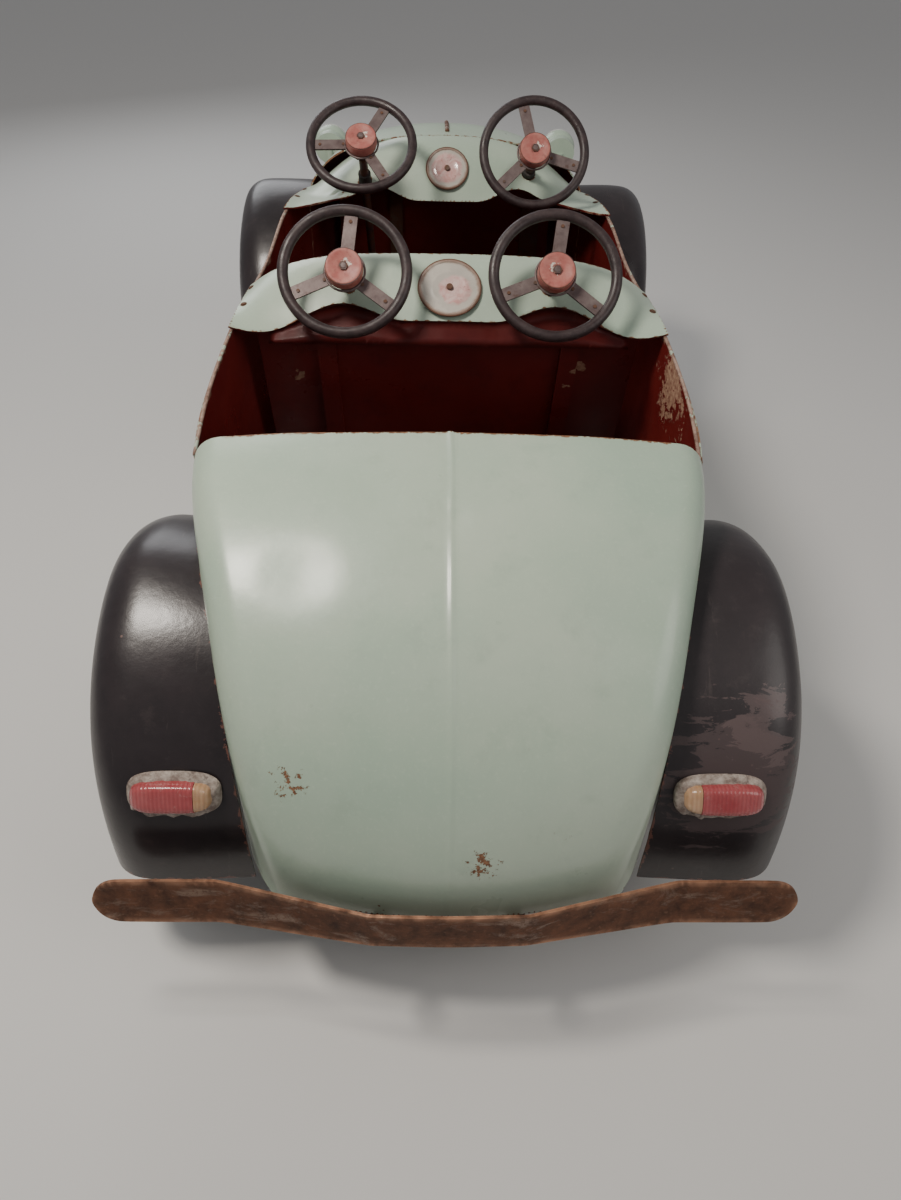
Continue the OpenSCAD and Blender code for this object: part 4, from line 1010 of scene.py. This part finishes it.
oily = oily_steel()
coat(cast_iron(), "bearing_blocks", "column_bushes")
coat(oily, "rear_axle", "axle_sprocket", "pedal_crank")
low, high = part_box("drive_chain")
axle, crank = [next(j for j in frame["joints"] if j["name"] == n) for n in ("rear_axle_turn", "crank_turn")]
chain_x = (low.x + high.x) / 2
back, front = Vector((axle["pos_m"][1], axle["pos_m"][2])), Vector((crank["pos_m"][1], crank["pos_m"][2]))
axle_reach, crank_reach = 0.0305, 0.0485
span = (front - back).length
chain_along = (front - back).normalized()
chain_up = Vector((-chain_along.y, chain_along.x))
lean = math.acos((axle_reach - crank_reach) / span)
loop = []
for k in range(25):
    a = lean + (math.tau - 2 * lean) * k / 24
    loop.append(back + axle_reach * (math.cos(a) * chain_along + math.sin(a) * chain_up))
for k in range(25):
    a = -lean + 2 * lean * k / 24
    loop.append(front + crank_reach * (math.cos(a) * chain_along + math.sin(a) * chain_up))
curve = bpy.data.curves.new("chain_path", "CURVE")
curve.dimensions = "3D"
line = curve.splines.new("POLY")
line.points.add(len(loop) - 1)
for point, place in zip(line.points, loop):
    point.co = (chain_x, place.x, place.y, 1)
line.use_cyclic_u = True
chain = bpy.data.objects.new("chain_path", curve)
bpy.context.collection.objects.link(chain)


def chain_tree(material):
    """Rollers between two side plates, at an even pitch along a closed path."""
    tree, given = new_tree("roller_chain", {"Pitch": 0.0127, "Link count": 180})
    make, link = tree.nodes.new, tree.links.new
    points = make("GeometryNodeCurveToPoints")
    points.mode = "COUNT"
    link(given["Geometry"], points.inputs["Curve"])
    link(given["Link count"], points.inputs["Count"])
    roller = make("GeometryNodeMeshCylinder")
    for key, value in (("Vertices", 10), ("Radius", 0.0036), ("Depth", 0.0046)):
        roller.inputs[key].default_value = value
    laid = make("GeometryNodeTransform")
    laid.inputs["Rotation"].default_value = (0, math.pi / 2, 0)
    link(roller.outputs["Mesh"], laid.inputs["Geometry"])
    pair = make("GeometryNodeJoinGeometry")
    for side in (-1, 1):
        plate = make("GeometryNodeMeshCube")
        size = make("ShaderNodeCombineXYZ")
        size.inputs["X"].default_value = 0.0009
        size.inputs["Y"].default_value = 0.0062
        link(given["Pitch"], size.inputs["Z"])
        link(size.outputs[0], plate.inputs["Size"])
        moved = make("GeometryNodeTransform")
        moved.inputs["Translation"].default_value = (side * 0.0028, 0, 0)
        link(plate.outputs["Mesh"], moved.inputs["Geometry"])
        link(moved.outputs[0], pair.inputs[0])
    link(laid.outputs[0], pair.inputs[0])
    turn = make("FunctionNodeAlignRotationToVector")
    turn.axis = "Z"
    turn.pivot_axis = "X"
    link(points.outputs["Tangent"], turn.inputs["Vector"])
    return set_out(tree, points.outputs["Points"], pair.outputs[0], turn.outputs["Rotation"], material)


links = chain.modifiers.new("links", "NODES")
links.node_group = chain_tree(oily)
chain = evaluated(chain, "roller_chain")
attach(chain, "root")
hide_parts("drive_chain")

# ---- road wheels --------------------------------------------------------------------------
# Solid rubber tyres with a block tread on dished steel discs, each with a plated cap.
def tyre_rubber():
    p = Paint("tyre_rubber")
    shade = p.mix((0.013, 0.012, 0.012), (0.034, 0.031, 0.029), p.ramp(p.noise(26, 6, 0.7), 0.4, 0.7))
    shade = p.mix(shade, (0.11, 0.095, 0.08), p.ramp(p.noise(14, 6, 0.75), 0.58, 0.8, 0, 0.45))
    return p.finish(shade, p.ramp(p.noise(50), 0.3, 0.7, 0.6, 0.85),
                    normal=p.bump(p.noise(300, 3), 0.0003, 0.8))


rubber = tyre_rubber()
TYRE_PROFILE = [(0.0936, -0.0215), (0.096, -0.0218), (0.1015, -0.0218), (0.1022, -0.0212), (0.1045, -0.0212),
                (0.1052, -0.0218), (0.1120, -0.0214), (0.1165, -0.0188), (0.1188, -0.0150), (0.1192, -0.0118),
                (0.1170, -0.0113), (0.1170, -0.0095), (0.1197, -0.0090), (0.1199, -0.0020), (0.1172, -0.0016)]
TYRE_PROFILE += [(radius, -across) for radius, across in reversed(TYRE_PROFILE)]
GROOVES = 96
WHEEL_DISC = [(0.0086, -0.0255), (0.0212, -0.0255), (0.0218, -0.0240), (0.0218, -0.0058), (0.050, -0.0030),
              (0.074, -0.0078), (0.0835, -0.0072), (0.0880, -0.0120), (0.0890, -0.0185), (0.0932, -0.0190),
              (0.0932, 0.0190), (0.0900, 0.0192), (0.0880, 0.0165), (0.0862, 0.0020), (0.083, -0.0035),
              (0.074, -0.0042), (0.050, 0.0006), (0.0245, 0.0030), (0.0086, 0.0060)]
HUB_CAP = [(0.0, 0.0252), (0.0105, 0.0250), (0.0175, 0.0236), (0.0208, 0.0205), (0.0224, 0.0150),
           (0.0236, 0.0090), (0.0262, 0.0050), (0.0290, 0.0040), (0.0292, 0.0026), (0.0, 0.0030)]
for joint in frame["joints"]:
    body = joint["child"]
    if body == "rear_axle_set":
        corner, side = "rear_left", -1
    elif body.startswith("wheel_"):
        corner, side = body[len("wheel_"):], -1 if body.endswith("left") else 1
    else:
        continue
    low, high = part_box("tyre_" + corner)
    hub = (low + high) / 2
    outward = Vector((side, 0, 0))
    tyre = lathed("tyre_tread_" + corner, TYRE_PROFILE, hub, outward, GROOVES * 2)
    for i, v in enumerate(tyre.data.vertices):
        flat = Vector((0, v.co.y - hub.y, v.co.z - hub.z))
        across = abs(v.co.x - hub.x)
        if flat.length > 0.1175 and (i + (across > 0.008)) % 2 and 0.0025 < across < 0.0185:
            v.co -= flat.normalized() * 0.0016
    fitted(tyre, rubber, "tyre", "tyre_" + corner, body=body)
    disc = lathed("wheel_disc_" + corner, WHEEL_DISC, hub, outward, 96)
    fitted(disc, mint, "mint_paint", "disc_" + corner, body=body)
    cap = lathed("hub_cap_" + corner, HUB_CAP, hub, outward, 64)
    fitted(cap, plated, "bumper_steel", body=body)
    nuts = []
    for k in range(5):
        a = math.tau * k / 5
        nuts.append((hub + Vector((0, math.cos(a), math.sin(a))) * 0.0415 + outward * 0.0012, outward))
    bolted("wheel_nuts_" + corner, hex_bolts, nuts, "screw_steel", body)

# ---- pedals -------------------------------------------------------------------------------
# Ribbed rubber blocks that stay level on their spindles.
def pedal_rubber():
    p = Paint("pedal_rubber")
    ribs = p.node("ShaderNodeTexWave", bands_direction="X")
    p.feed(ribs.inputs["Vector"], p.place)
    p.feed(ribs.inputs["Scale"], 45.0)
    shade = p.mix((0.016, 0.015, 0.015), (0.05, 0.045, 0.04), p.ramp(p.noise(40, 5), 0.4, 0.7))
    return p.finish(shade, 0.75,
                    normal=p.bump(ribs.outputs["Fac"], 0.002, 1.0, p.bump(p.noise(280), 0.0003, 0.7)))


coat(pedal_rubber(), "pedal_left", "pedal_right")
